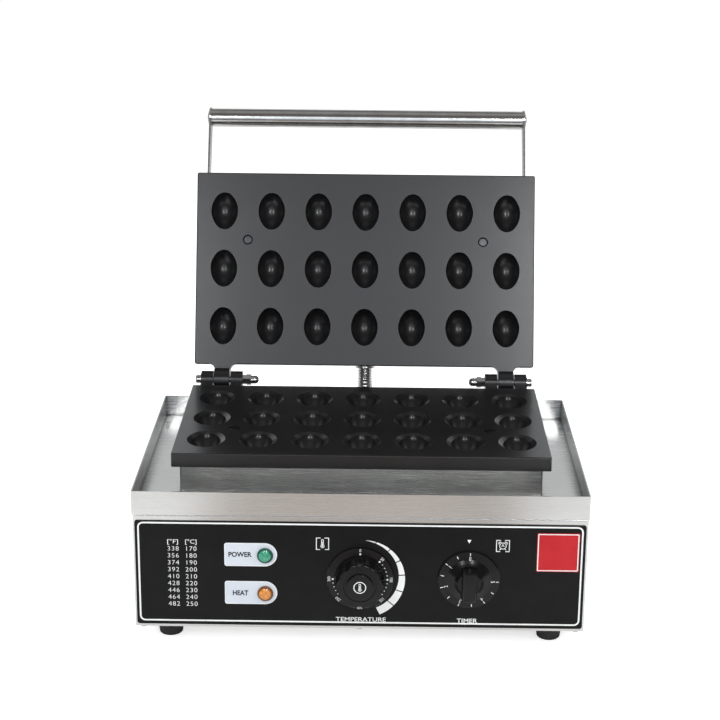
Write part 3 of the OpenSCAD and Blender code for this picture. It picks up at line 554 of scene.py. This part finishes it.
inkLooks = {
    "pale": {
        "dark": (0.74, 0.76, 0.76),
        "light": (0.84, 0.86, 0.86),
        "roughness": (0.40, 0.55),
        "grain": 1500,
    },
    "black": {
        "dark": (0.004, 0.008, 0.010),
        "light": (0.008, 0.014, 0.017),
        "roughness": (0.50, 0.65),
        "grain": 1500,
        "specular": 0.2,
    },
    # painted shade of screw recesses and of the gaps round the plate screws
    "recess": {
        "dark": (0.002, 0.002, 0.002),
        "light": (0.005, 0.005, 0.005),
        "roughness": (0.70, 0.90),
        "specular": 0.1,
    },
}


def mouldedPiece(name, look):
    look = {**mouldedBase, **look}
    finish, tree, shader = startFinish(name, look)
    shader.inputs["Specular IOR Level"].default_value = look["specular"]
    shader.inputs["Coat Weight"].default_value = look["coat"]
    shader.inputs["Coat Roughness"].default_value = look["coatRoughness"]
    fine = noise(tree, look["grain"], detail=2.0, roughness=0.7)
    colour = tint(tree, noise(tree, look["cloud"]), look["dark"], look["light"])
    tree.links.new(colour, shader.inputs["Base Color"])
    tree.links.new(spread(tree, fine, *look["roughness"]), shader.inputs["Roughness"])
    addBump(tree, shader, fine, *look["bump"])
    return finish


# heater tube with straw and blue temper colours

heaterLook = {
    "dark": (0.16, 0.15, 0.20),
    "middle": (0.27, 0.22, 0.19),
    "light": (0.36, 0.31, 0.22),
    "roughness": (0.38, 0.60),
    "bands": 30,
    "fine": 800,
    "bump": (0.2, 0.0002),
}


def heaterSheath(name, look):
    finish, tree, shader = startFinish(name, look, 1.0)
    fine = noise(tree, look["fine"])
    bands = noise(tree, look["bands"], detail=4.0)
    colour = tint(tree, bands, look["dark"], look["light"], middle=look["middle"])
    tree.links.new(colour, shader.inputs["Base Color"])
    tree.links.new(spread(tree, fine, *look["roughness"]), shader.inputs["Roughness"])
    addBump(tree, shader, fine, *look["bump"])
    return finish


# fibre mats

fibreLook = {
    "dark": (0.62, 0.59, 0.52),
    "light": (0.84, 0.82, 0.77),
    "roughness": (0.85, 1.0),
    "strands": (900, 140, 140),
    "bump": (0.7, 0.0012),
}


def ceramicFibre(name, look):
    finish, tree, shader = startFinish(name, look)
    strands = noise(tree, look["strands"], detail=6.0, roughness=0.75)
    tree.links.new(tint(tree, strands, look["dark"], look["light"]), shader.inputs["Base Color"])
    tree.links.new(spread(tree, strands, *look["roughness"]), shader.inputs["Roughness"])
    addBump(tree, shader, strands, *look["bump"])
    return finish


# lamps: faceted lenses with painted shade at their edge, in bezels that are dyed like them and painted darker for
# shade

lampX = -85.8
lampHeights = {"lens_green": 91.1, "lens_amber": 53.7}
lensBase = {
    "roughness": (0.10, 0.22),
    "coat": 0.8,
    "coatRoughness": 0.05,
    "depth": 0.25,           # how much light goes in, and how far
    "depthReach": 0.003,
    "facets": 420,
    "rimShadeShare": 0.22,        # painted shade: colour left at the lens's rim, between these radii
    "rimShadeEdges": (0.0050, 0.0060),
    "bump": (0.25, 0.0004),
}
lensLooks = {
    "lens_green": {"dark": (0.02, 0.23, 0.14), "light": (0.05, 0.36, 0.22)},
    "lens_amber": {"dark": (0.52, 0.18, 0.02), "light": (0.70, 0.29, 0.05)},
}
lampRimLook = {
    "dark": (0.17, 0.055, 0.008),       # the lower lamp, amber, darker than its lens as painted shade
    "light": (0.006, 0.075, 0.05),      # the upper lamp, green, darker than its lens as painted shade
    "roughness": (0.16, 0.28),
    "split": (0.0715, 0.0735),          # heights between the lamps, in metres
    "coat": 0.5,
    "fine": 700,
}


def lampLens(name, look, height):
    look = {**lensBase, **look}
    finish, tree, shader = startFinish(name, look)
    shader.inputs["Coat Weight"].default_value = look["coat"]
    shader.inputs["Coat Roughness"].default_value = look["coatRoughness"]
    shader.inputs["Subsurface Weight"].default_value = look["depth"]
    shader.inputs["Subsurface Scale"].default_value = look["depthReach"]
    # distance from the lens's middle, seen from the front
    place = tree.nodes.new("ShaderNodeTexCoord")
    reach = tree.nodes.new("ShaderNodeVectorMath")
    reach.operation = "MULTIPLY_ADD"
    reach.inputs[1].default_value = (1, 0, 1)
    reach.inputs[2].default_value = (-lampX * mm, 0, -height * mm)
    tree.links.new(place.outputs["Object"], reach.inputs[0])
    radius = tree.nodes.new("ShaderNodeVectorMath")
    radius.operation = "LENGTH"
    tree.links.new(reach.outputs["Vector"], radius.inputs[0])
    facets = noise(tree, look["facets"], detail=2.0)
    # painted shade, darker towards the lens's rim
    rim = spread(tree, radius.outputs["Value"], 1.0, look["rimShadeShare"], *look["rimShadeEdges"])
    colour = scaleColour(tree, tint(tree, facets, look["dark"], look["light"]), rim)
    tree.links.new(colour, shader.inputs["Base Color"])
    tree.links.new(spread(tree, facets, *look["roughness"]), shader.inputs["Roughness"])
    addBump(tree, shader, facets, *look["bump"])
    return finish


def lampRims(name, look):
    finish, tree, shader = startFinish(name, look)
    shader.inputs["Coat Weight"].default_value = look["coat"]
    place = tree.nodes.new("ShaderNodeTexCoord")
    axes = tree.nodes.new("ShaderNodeSeparateXYZ")
    tree.links.new(place.outputs["Object"], axes.inputs[0])
    upper = spread(tree, axes.outputs["Z"], 0, 1, *look["split"])
    # dyed like the lens beside it, and darker as painted shade
    colour = tint(tree, upper, look["dark"], look["light"], fromLow=0.0, fromHigh=1.0)
    tree.links.new(colour, shader.inputs["Base Color"])
    fine = noise(tree, look["fine"], detail=2.0)
    tree.links.new(spread(tree, fine, *look["roughness"]), shader.inputs["Roughness"])
    return finish


# every node takes the finish of its slot

def finishName(slot):
    first, *rest = slot.split("_")
    return first + "".join(word.capitalize() for word in rest)


finishes = {
    "brushed_stainless": brushedSteel("brushedStainless", steelLook),
    "galvanised_sheet": galvanisedSheet("galvanisedSheet", galvanisedLook),
    "nonstick_casting": nonstickCasting("nonstickCasting", castLook),
    "heater_sheath": heaterSheath("heaterSheath", heaterLook),
    "ceramic_fibre": ceramicFibre("ceramicFibre", fibreLook),
}
for slot, look in turnedLooks.items():
    finishes[slot] = turnedMetal(finishName(slot), look)
for slot, look in mouldedLooks.items():
    finishes[slot] = mouldedPiece(finishName(slot), look)
for slot, look in lensLooks.items():
    finishes[slot] = lampLens(finishName(slot), look, lampHeights[slot])
inkWhite = mouldedPiece("inkWhite", inkLooks["pale"])
inkDark = mouldedPiece("inkDark", inkLooks["black"])
recessShade = mouldedPiece("recessShade", inkLooks["recess"])
ownFinishes = {"lamp_bezels": lampRims("lampSurround", lampRimLook)}     # in place of its slot's

for part in frame["record"]["subparts"]:
    node = frame["nodes"][part["node"]]
    node.data.materials.clear()
    node.data.materials.append(ownFinishes.get(part["node"], finishes[part["material_slot"]]))
print("finishes on", len(frame["nodes"]), "nodes")


# flat printed shapes: each is a list of points and a list of faces, in millimetres on a plane of its own

def letterMesh(words, bold=0.0):
    # filled letters of the plain built-in typeface, centred
    data = bpy.data.curves.new("letters", "FONT")
    data.body = words
    data.offset = bold
    data.align_x = "CENTER"
    data.resolution_u = 4
    text = bpy.data.objects.new("letters", data)
    scene.collection.objects.link(text)
    bpy.context.view_layer.update()
    ready = text.evaluated_get(bpy.context.evaluated_depsgraph_get())
    mesh = bpy.data.meshes.new_from_object(ready)
    points = [(v.co.x, v.co.y) for v in mesh.vertices]
    faces = [tuple(face.vertices) for face in mesh.polygons]
    bpy.data.objects.remove(text)
    bpy.data.curves.remove(data)
    bpy.data.meshes.remove(mesh)
    return points, faces


capShare = max(y for x, y in letterMesh("H")[0])     # height of a capital before it is sized


def cutText(words, height, x, y, turn=0.0, squeeze=1.0, bold=0.0):
    # sized by the capital height and set round the point x, y
    letters, faces = letterMesh(words, bold)
    scale = height / capShare
    cosTurn, sinTurn = math.cos(turn), math.sin(turn)
    points = []
    for across, up in letters:
        u, w = across * scale * squeeze, up * scale - height / 2
        points.append((x + u * cosTurn - w * sinTurn, y + u * sinTurn + w * cosTurn))
    return points, faces


def cutStroke(points, width, closed=False, leastLean=0.35):
    # a line of even width with mitred corners
    count = len(points)
    left, right = [], []
    for i, (x, y) in enumerate(points):
        before = points[i - 1] if closed or i > 0 else None
        after = points[(i + 1) % count] if closed or i < count - 1 else None
        steps = []
        if before:
            steps.append(Vector((x - before[0], y - before[1])).normalized())
        if after:
            steps.append(Vector((after[0] - x, after[1] - y)).normalized())
        direction = (steps[0] + steps[-1]).normalized()
        side = Vector((-direction.y, direction.x))
        lean = max(leastLean, side.dot(Vector((-steps[0].y, steps[0].x))))
        side = side * (width / 2 / lean)
        left.append((x + side.x, y + side.y))
        right.append((x - side.x, y - side.y))
    faces = []
    for i in range(count if closed else count - 1):
        j = (i + 1) % count
        faces.append((count + i, count + j, j, i))
    return left + right, faces


def cutFan(points):
    return list(points), [tuple(range(len(points)))]


def polar(radius, degrees, x=0.0, y=0.0):
    turn = math.radians(degrees)
    return x + radius * math.cos(turn), y + radius * math.sin(turn)


def arcPoints(x, y, radius, start, end, steps):
    return [polar(radius, start + (end - start) * i / steps, x, y) for i in range(steps + 1)]


def ringPoints(x, y, radius, count):
    return arcPoints(x, y, radius, 0, 360 - 360 / count, count - 1)


def roundedBox(left, bottom, right, top, radius, steps=6):
    corners = [(right - radius, top - radius, 0), (left + radius, top - radius, 90),
               (left + radius, bottom + radius, 180), (right - radius, bottom + radius, 270)]
    points = []
    for x, y, start in corners:
        points += arcPoints(x, y, radius, start, start + 90, steps)
    return points


def makePrint(name, shapes, place, body, finish):
    # place turns a point of the plane into a point of the machine
    points, faces = [], []
    for shapePoints, shapeFaces in shapes:
        first = len(points)
        points += [place(u, v) for u, v in shapePoints]
        faces += [tuple(first + k for k in face) for face in shapeFaces]
    mesh = bpy.data.meshes.new(name)
    mesh.from_pydata([tuple(c * mm for c in point) for point in points], [], faces)
    mesh.validate()
    piece = bpy.data.objects.new(name, mesh)
    scene.collection.objects.link(piece)
    mesh.materials.append(finish)
    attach(piece, body)


# signs: every length is a share of the sign's size

thermometerSign = {
    "bulb": 0.15,
    "bulbY": -0.24,
    "bulbArc": (125, 415),
    "stem": 0.085,
    "stemTop": 0.34,
    "line": 0.055,
    "core": 0.075,
    "column": (-0.2, 0.2),
    "columnLine": 0.06,
}
clockSign = {
    "face": 0.27,
    "line": 0.06,
    "hands": ((-0.1, -0.07), (0.0, 0.13), (0.1, -0.07)),
    "handLine": 0.05,
    "bell": ((0.36, 0.16), (0.31, 0.31), (0.14, 0.36)),
    "bellLine": 0.07,
    "foot": ((0.17, -0.25), (0.27, -0.37)),
}
bracketSign = {
    "line": 0.7,
    "topGap": 0.16,          # half the gap over and under the sign, as a share of the width
    "bottomGap": 0.2,
}


def signPath(x, y, size, points, side=1):
    return [(x + side * u * size, y + v * size) for u, v in points]


def thermometerIcon(x, y, size, sign=thermometerSign):
    bulbY = y + sign["bulbY"] * size
    outline = arcPoints(x, y + sign["stemTop"] * size, sign["stem"] * size, 0, 180, 8)
    outline += arcPoints(x, bulbY, sign["bulb"] * size, *sign["bulbArc"], 14)
    low, high = sign["column"]
    column = signPath(x, y, size, ((0, low), (0, high)))
    return [
        cutStroke(outline, sign["line"] * size, True),
        cutFan(arcPoints(x, bulbY, sign["core"] * size, 0, 345, 12)),
        cutStroke(column, sign["columnLine"] * size),
    ]


def clockIcon(x, y, size, sign=clockSign):
    shapes = [cutStroke(ringPoints(x, y, sign["face"] * size, 24), sign["line"] * size, True)]
    shapes.append(cutStroke(signPath(x, y, size, sign["hands"]), sign["handLine"] * size))
    for side in (-1, 1):
        shapes.append(cutStroke(signPath(x, y, size, sign["bell"], side), sign["bellLine"] * size))
        shapes.append(cutStroke(signPath(x, y, size, sign["foot"], side), sign["line"] * size))
    return shapes


def bracketFrame(x, y, width, height, sign=bracketSign):
    shapes = []
    for side in (-1, 1):
        reach = side * width
        top = [(x + reach * sign["topGap"], y + height / 2), (x + reach / 2, y + height / 2)]
        bottom = [(x + reach / 2, y - height / 2), (x + reach * sign["bottomGap"], y - height / 2)]
        points = top + bottom
        shapes.append(cutStroke(points if side > 0 else points[::-1], sign["line"]))
    return shapes


# black fascia: outline, temperature table, words, signs and the heat scale

fasciaThickness = 0.8
fasciaPrint = {
    "lift": 0.06,
    "outline": (-199.3, 25.5, 199.3, 121.3, 4.5),      # left, bottom, right, top, corner radius
    "outlineWidth": 1.5,
    "columnX": (-168.3, -152.3),       # Fahrenheit and Celsius
    "topRow": 96.45,
    "rowPitch": 6.8,
    "celsius": (170, 250, 10),         # coolest at the top, warmest, step
    "digitHeight": 4.25,
    "digitPitch": 3.75,
    "digitSqueeze": 1.04,
    "digitBold": -0.008,
    "heads": (("[°F]", -168.5, 9.7), ("[°C]", -152.1, 10.2)),     # words, x, width
    "headHeight": 3.9,
    "headY": 103.35,
    # words, x, y, capital height, width
    "words": (("TEMPERATURE", 1.3, 28.6, 4.0, 45.6), ("TIMER", 97.9, 28.5, 4.2, 18.6)),
    "wordBold": 0.008,
    "pointer": ((98.0, 104.9), (99.8, 108.3), (96.2, 108.3)),
    # x, y, width and height of the brackets, size of the sign
    "thermometer": (-33.75, 102.8, 11.0, 11.2, 10.0),
    "clock": (128.2, 102.8, 11.5, 10.9, 11.0),
    # fields that widen clockwise round the thermostat
    "scaleCentre": (0.3, 69.4),
    "scaleEdges": (83, 68.2, 47, 26.4, 5.4, -18.7, -41, -63.8),
    "scaleGap": 0.75,
    "scaleInner": (37.3, -5.0, 1.3),       # radius at the start, growth, power of the growth
    "scaleOuter": (37.5, 9.4, -7.0),       # radius at the start, growth, square of the growth
}


def onFascia(lift):
    return lambda u, v: (u, housingFront - fasciaThickness - lift, v)


def fitWidth(words, height, x, y, width, bold=0.0):
    points, faces = cutText(words, height, 0, y, bold=bold)
    low, high = min(p[0] for p in points), max(p[0] for p in points)
    middle, share = (low + high) / 2, width / (high - low)
    return [(x + (p[0] - middle) * share, p[1]) for p in points], faces


def digitCells(number, x, y, settings):
    # figures of a table stand in cells of one width
    shapes = []
    for k, figure in enumerate(number):
        place = x + (k - (len(number) - 1) / 2) * settings["digitPitch"]
        squeeze, bold = settings["digitSqueeze"], settings["digitBold"]
        shapes.append(cutText(figure, settings["digitHeight"], place, y, squeeze=squeeze, bold=bold))
    return shapes


def temperatureTable(settings):
    shapes = []
    coolest, warmest, step = settings["celsius"]
    leftX, rightX = settings["columnX"]
    for row, celsius in enumerate(range(coolest, warmest + 1, step)):
        y = settings["topRow"] - row * settings["rowPitch"]
        shapes += digitCells(str(round(celsius * 9 / 5 + 32)), leftX, y, settings)
        shapes += digitCells(str(celsius), rightX, y, settings)
    for words, x, width in settings["heads"]:
        shapes.append(fitWidth(words, settings["headHeight"], x, settings["headY"], width))
    return shapes


def heatScale(settings, steps=8):
    shapes = []
    x, y = settings["scaleCentre"]
    edges, gap = settings["scaleEdges"], settings["scaleGap"]
    innerStart, innerGrowth, power = settings["scaleInner"]
    outerStart, outerGrowth, outerSquare = settings["scaleOuter"]
    for start, end in zip(edges[:-1], edges[1:]):
        inner, outer = [], []
        for i in range(steps + 1):
            angle = start - gap - (start - end - 2 * gap) * i / steps
            t = (edges[0] - angle) / (edges[0] - edges[-1])
            inner.append(polar(innerStart + innerGrowth * t ** power, angle, x, y))
            outer.append(polar(outerStart + outerGrowth * t + outerSquare * t * t, angle, x, y))
        first = steps + 1
        shapes.append((inner + outer, [(i, i + 1, first + i + 1, first + i) for i in range(steps)]))
    return shapes


def printFascia(settings):
    shapes = [cutStroke(roundedBox(*settings["outline"]), settings["outlineWidth"], True)]
    shapes += temperatureTable(settings)
    for words, x, y, height, width in settings["words"]:
        shapes.append(fitWidth(words, height, x, y, width, settings["wordBold"]))
    shapes.append(cutFan(settings["pointer"]))
    for icon, key in ((thermometerIcon, "thermometer"), (clockIcon, "clock")):
        x, y, width, height, size = settings[key]
        shapes += bracketFrame(x, y, width, height) + icon(x, y, size)
    shapes += heatScale(settings)
    makePrint("fasciaPrint", shapes, onFascia(settings["lift"]), "base", inkWhite)


printFascia(fasciaPrint)


# pale plates behind the lamps: a painted highlight along each plate's rounded edge, and a word each

labelPrint = {
    "words": (("POWER", -107.9, 91.7, 21.0), ("HEAT", -107.9, 53.9, 14.0)),     # words, x, y, width
    "height": 4.5,
    "bold": 0.03,
    # width of the painted highlight along each plate's rounded edge
    "rim": 0.7,
    "rimReach": 10.8,        # from the lamp's middle up, down and right
    "rimRise": 0.4,
    "rimLeft": -119.7,       # middle of the two left corners
    "rimCorner": 2.0,
    "rimLift": 0.84,
    "wordLift": 0.86,
}


def printLabels(settings):
    # painted highlight along the rounded edge of each plate
    edgeHighlights = []
    reach, corner, left = settings["rimReach"], settings["rimCorner"], settings["rimLeft"]
    for lampZ in lampHeights.values():
        z = lampZ + settings["rimRise"]
        edge = arcPoints(lampX, z, reach, -90, 90, 24)
        edge += arcPoints(left, z + reach - corner, corner, 90, 180, 6)
        edge += arcPoints(left, z - reach + corner, corner, 180, 270, 6)
        edgeHighlights.append(cutStroke(edge, settings["rim"], True))
    words = []
    for word, x, y, width in settings["words"]:
        words.append(fitWidth(word, settings["height"], x, y, width, settings["bold"]))
    makePrint("lampLabelEdgeHighlights", edgeHighlights, onFascia(settings["rimLift"]), "base", inkWhite)
    makePrint("lampLabelPrint", words, onFascia(settings["wordLift"]), "base", inkDark)


printLabels(labelPrint)


# plain enamelled plate with a pale printed border

badgeBorder = {
    "centre": (177.9, 97.1),
    "size": (38.2, 37.4),
    "inset": 1.1,
    "line": 0.9,
    "corner": 0.6,
    "cornerSteps": 3,
    "lift": 0.66,
}


def printBadge(settings):
    x, y = settings["centre"]
    width, height = settings["size"]
    halfW, halfH = width / 2 - settings["inset"], height / 2 - settings["inset"]
    corner, steps = settings["corner"], settings["cornerSteps"]
    box = roundedBox(x - halfW, y - halfH, x + halfW, y + halfH, corner, steps)
    border = [cutStroke(box, settings["line"], True)]
    makePrint("badgeBorder", border, onFascia(settings["lift"]), "base", inkWhite)


printBadge(badgeBorder)
print("fascia printed")


# dials: the prints lie on the skirts, each given as radius and height from its rim inwards

thermostatPrint = {
    "joint": "thermostat_turn",
    "profile": ((29.9, 2.7), (23.6, 3.1)),
    "capProfile": ((10.0, 20.9), (0.0, 20.9)),
    "lift": 0.12,
    "capLift": 0.06,
    "numbers": 7,
    "numberStep": 50,
    "numberTurn": 45,
    "numberHeight": 2.7,
    "numberSqueeze": 0.85,
    "numberRadius": 28.1,
    "dotRadius": 24.7,
    "bigDot": 0.95,
    "smallDot": 0.5,
    "smallDots": 4,
    "capRing": 5.3,
    "capLine": 0.75,
    "capSign": 8.6,
}
timerPrint = {
    "joint": "timer_turn",
    "profile": ((27.6, 2.7), (20.4, 3.0), (15.4, 6.0)),
    "lift": 0.12,
    "numbers": 6,
    "start": 88.5,
    "step": 53.8,
    "numberHeight": 3.6,
    "numberSqueeze": 0.8,
    "numberRadius": 21.7,
    "tickRadius": 26.8,
    "tickLength": 2.4,
    "halfTick": (3.6, 0.8),      # how far inside the tick radius it starts and ends
    "tickLine": 0.7,
}


def profileHeight(profile, radius):
    k = 0
    while k < len(profile) - 2 and radius < profile[k + 1][0]:
        k += 1
    (outer, low), (inner, high) = profile[k], profile[k + 1]
    return low + (high - low) * (outer - radius) / (outer - inner)


def onDial(joint, profile, lift):
    x, z = [joints[joint]["pos_m"][axis] / mm for axis in (0, 2)]

    def place(u, v):
        return x + u, housingFront - profileHeight(profile, math.hypot(u, v)) - lift, z + v

    return place


def dialText(words, height, radius, angle, squeeze):
    # letters stand on the dial's centre and turn with the angle
    x, y = polar(radius, angle)
    return cutText(words, height, x, y, math.radians(angle - 90), squeeze)


def dialDot(radius, angle, size):
    x, y = polar(radius, angle)
    return cutFan(ringPoints(x, y, size, 10))


def dialTick(inner, outer, angle, width):
    return cutStroke([polar(inner, angle), polar(outer, angle)], width)


def printThermostat(settings):
    shapes = []
    radius, last = settings["dotRadius"], settings["numbers"] - 1
    smallTurn = settings["numberTurn"] / (settings["smallDots"] + 1)
    for i in range(settings["numbers"]):
        angle = 90 - i * settings["numberTurn"]
        number = str(i * settings["numberStep"])
        height, squeeze = settings["numberHeight"], settings["numberSqueeze"]
        shapes.append(dialText(number, height, settings["numberRadius"], angle, squeeze))
        shapes.append(dialDot(radius, angle, settings["bigDot"]))
        # no small dots between 0 and the first number
        if 0 < i < last:
            for k in range(1, settings["smallDots"] + 1):
                shapes.append(dialDot(radius, angle - smallTurn * k, settings["smallDot"]))
    skirt = onDial(settings["joint"], settings["profile"], settings["lift"])
    makePrint("thermostatPrint", shapes, skirt, "thermostat_dial", inkWhite)
    sign = [cutStroke(ringPoints(0, 0, settings["capRing"], 48), settings["capLine"], True)]
    sign += thermometerIcon(0, 0, settings["capSign"])
    cap = onDial(settings["joint"], settings["capProfile"], settings["capLift"])
    makePrint("thermostatCapSign", sign, cap, "thermostat_dial", inkWhite)


def printTimer(settings):
    shapes = []
    outer, line = settings["tickRadius"], settings["tickLine"]
    halfFrom, halfTo = settings["halfTick"]
    for i in range(settings["numbers"]):
        angle = settings["start"] + i * settings["step"]
        height, squeeze = settings["numberHeight"], settings["numberSqueeze"]
        shapes.append(dialText(str(i), height, settings["numberRadius"], angle, squeeze))
        shapes.append(dialTick(outer - settings["tickLength"], outer, angle, line))
        if i < settings["numbers"] - 1:
            halfAngle = angle + settings["step"] / 2
            shapes.append(dialTick(outer - halfFrom, outer - halfTo, halfAngle, line))
    skirt = onDial(settings["joint"], settings["profile"], settings["lift"])
    makePrint("timerPrint", shapes, skirt, "timer_dial", inkWhite)


printThermostat(thermostatPrint)
printTimer(timerPrint)
print("dials printed")


# screw heads: painted shade of their cross recesses, and a painted shadow ring in the gap round the plate screws

screwMarks = {
    "cross": (3.6, 0.8),         # length and width of a cross
    "gap": (4.5, 1.6),           # radius and width of the painted shadow ring in the gap
    "plateX": (-120.0, 120.0),
    "plateTurn": (20, 50),       # turn of the first cross, and of each next one against it
    "lowerPlate": (-79.55, 174.0),       # y and z of the screws on the lower plate's face
    "upperPlate": (112.65, 310.08),      # and on the open upper plate's
    "headSunk": 0.24,
    "gapLift": 0.05,
    "back": [(x, z) for x in (-197.5, -65.0, 65.0, 197.5) for z in (26.0, 122.4)],
    "backTurn": (15, 37),
    "backHead": 2.26,            # how far the cross stands behind the panel
    "armCross": (4.8, 1.0),
    "armTurn": (30, 25),
    "armReach": (108.0, 168.0),      # in front of the hinge, with the lid closed
    "armLevel": 23.5,                # and above it
    "armFace": 166.86,
}


def openedPair(y, z):
    # a place drawn with the lid closed, about the hinge, taken to the open lid
    c, s = math.cos(openAngle), math.sin(openAngle)
    return hingeY + y * c + z * s, hingeZ - y * s + z * c


def crossRecess(x, y, cross, turn):
    size, line = cross
    shapes = []
    for quarter in (0, 90):
        u, v = polar(size / 2, turn + quarter)
        shapes.append(cutStroke([(x - u, y - v), (x + u, y + v)], line))
    return shapes


def crossRow(places, cross, turns):
    first, step = turns
    shapes = []
    for i, (x, y) in enumerate(places):
        shapes += crossRecess(x, y, cross, first + step * i)
    return shapes


def markPlateScrews(settings):
    radius, width = settings["gap"]
    heads = crossRow([(x, 0) for x in settings["plateX"]], settings["cross"], settings["plateTurn"])
    gapShadows = [cutStroke(ringPoints(x, 0, radius, 36), width, True) for x in settings["plateX"]]
    c, s = math.cos(openAngle), math.sin(openAngle)
    lowY, lowZ = settings["lowerPlate"]
    upY, upZ = settings["upperPlate"]

    def onLower(lift):
        return lambda u, v: (u, lowY + v, lowZ + lift)

    def onUpper(lift):
        return lambda u, v: (u, upY - v * c - s * lift, upZ + v * s - c * lift)

    for name, place, body in (("lowerPlate", onLower, "base"), ("upperPlate", onUpper, "lid")):
        recess, gap = place(-settings["headSunk"]), place(settings["gapLift"])
        # painted shade of the cross recesses, and a painted shadow ring round each head
        makePrint(name + "Recess", heads, recess, body, recessShade)
        makePrint(name + "Gap", gapShadows, gap, body, recessShade)


def markOuterScrews(settings):
    # painted shade of the cross recesses on the back and arm screws
    heads = crossRow(settings["back"], settings["cross"], settings["backTurn"])
    face = panelBack + settings["backHead"]
    makePrint("backScrewRecess", heads, lambda u, v: (u, face, v), "base", recessShade)
    places = [(-reach, settings["armLevel"]) for reach in settings["armReach"]]
    heads = crossRow(places, settings["armCross"], settings["armTurn"])
    for name, side in (("leftArmRecess", -1), ("rightArmRecess", 1)):
        x = side * settings["armFace"]
        makePrint(name, heads, lambda u, v: (x, *openedPair(u, v)), "lid", recessShade)


markPlateScrews(screwMarks)
markOuterScrews(screwMarks)
print("screws marked")


# wound conduit between the back panel and the lid

conduitShape = {
    "startX": 10.0,
    "startBehind": 4.0,      # behind the back panel
    "startZ": 48.0,
    "straight": 15.0,        # straight stretch at each fitting
    "reach": 110.0,          # how far the curve pulls back from the panel
    "pull": 35.0,            # and from the lid
    "lidX": 1.0,
    "lidSeat": -19.7,        # y of the lid's fitting from the hinge, with the lid closed
    "lidRise": 29.5,         # and its height above the hinge
    "crest": 7.4,
    "root": 6.5,
    "ribPitch": 2.7,
    "ribPoints": 6,          # rings of points in one rib
    "ribFullness": 0.6,      # under 1 for rounded crests and narrow roots
    "sides": 28,
    "curveSteps": 60,
}


def conduitLine(shape):
    seat, x, rise = shape["lidSeat"], shape["lidX"], shape["lidRise"]
    start = Vector((shape["startX"], panelBack + shape["startBehind"], shape["startZ"]))
    leave = start + Vector((0, shape["straight"], 0))
    leavePull = leave + Vector((0, shape["reach"], 0))
    arrive = Vector((x, *openedPair(seat + shape["straight"], rise)))
    arrivePull = Vector((x, *openedPair(seat + shape["straight"] + shape["pull"], rise)))
    line = [start]
    for i in range(shape["curveSteps"] + 1):
        t = i / shape["curveSteps"]
        near = leave * (1 - t) ** 3 + leavePull * 3 * t * (1 - t) ** 2
        far = arrivePull * 3 * t * t * (1 - t) + arrive * t ** 3
        line.append(near + far)
    line.append(Vector((x, *openedPair(seat, rise))))
    return line


def evenPoints(line, step):
    marks = [0.0]
    for i in range(1, len(line)):
        marks.append(marks[-1] + (line[i] - line[i - 1]).length)
    count = round(marks[-1] / step)
    out, k = [], 1
    for i in range(count + 1):
        s = marks[-1] * i / count
        while k < len(marks) - 1 and marks[k] < s:
            k += 1
        t = (s - marks[k - 1]) / (marks[k] - marks[k - 1])
        out.append(line[k - 1].lerp(line[k], t))
    return out


def makeConduit(shape):
    perRib, sides = shape["ribPoints"], shape["sides"]
    line = evenPoints(conduitLine(shape), shape["ribPitch"] / perRib)
    points, faces = [], []
    for i, middle in enumerate(line):
        ahead = (line[min(i + 2, len(line) - 1)] - line[max(i - 2, 0)]).normalized()
        up = ahead.cross(Vector((1, 0, 0))).normalized()
        across = up.cross(ahead)
        wave = 0.5 - 0.5 * math.cos(2 * math.pi * i / perRib)
        radius = shape["root"] + (shape["crest"] - shape["root"]) * wave ** shape["ribFullness"]
        for k in range(sides):
            a = 2 * math.pi * k / sides
            points.append((middle + radius * (math.cos(a) * across + math.sin(a) * up)) * mm)
    for i in range(len(line) - 1):
        for k in range(sides):
            m = (k + 1) % sides
            faces.append((i * sides + k, i * sides + m, (i + 1) * sides + m, (i + 1) * sides + k))
    mesh = bpy.data.meshes.new("conduitHose")
    mesh.from_pydata(points, [], faces)
    for face in mesh.polygons:
        face.use_smooth = True
    hose = bpy.data.objects.new("conduitHose", mesh)
    scene.collection.objects.link(hose)
    mesh.materials.append(finishes["conduit_steel"])
    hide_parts("conduit")
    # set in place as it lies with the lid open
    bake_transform(hose)


makeConduit(conduitShape)
print("conduit made")
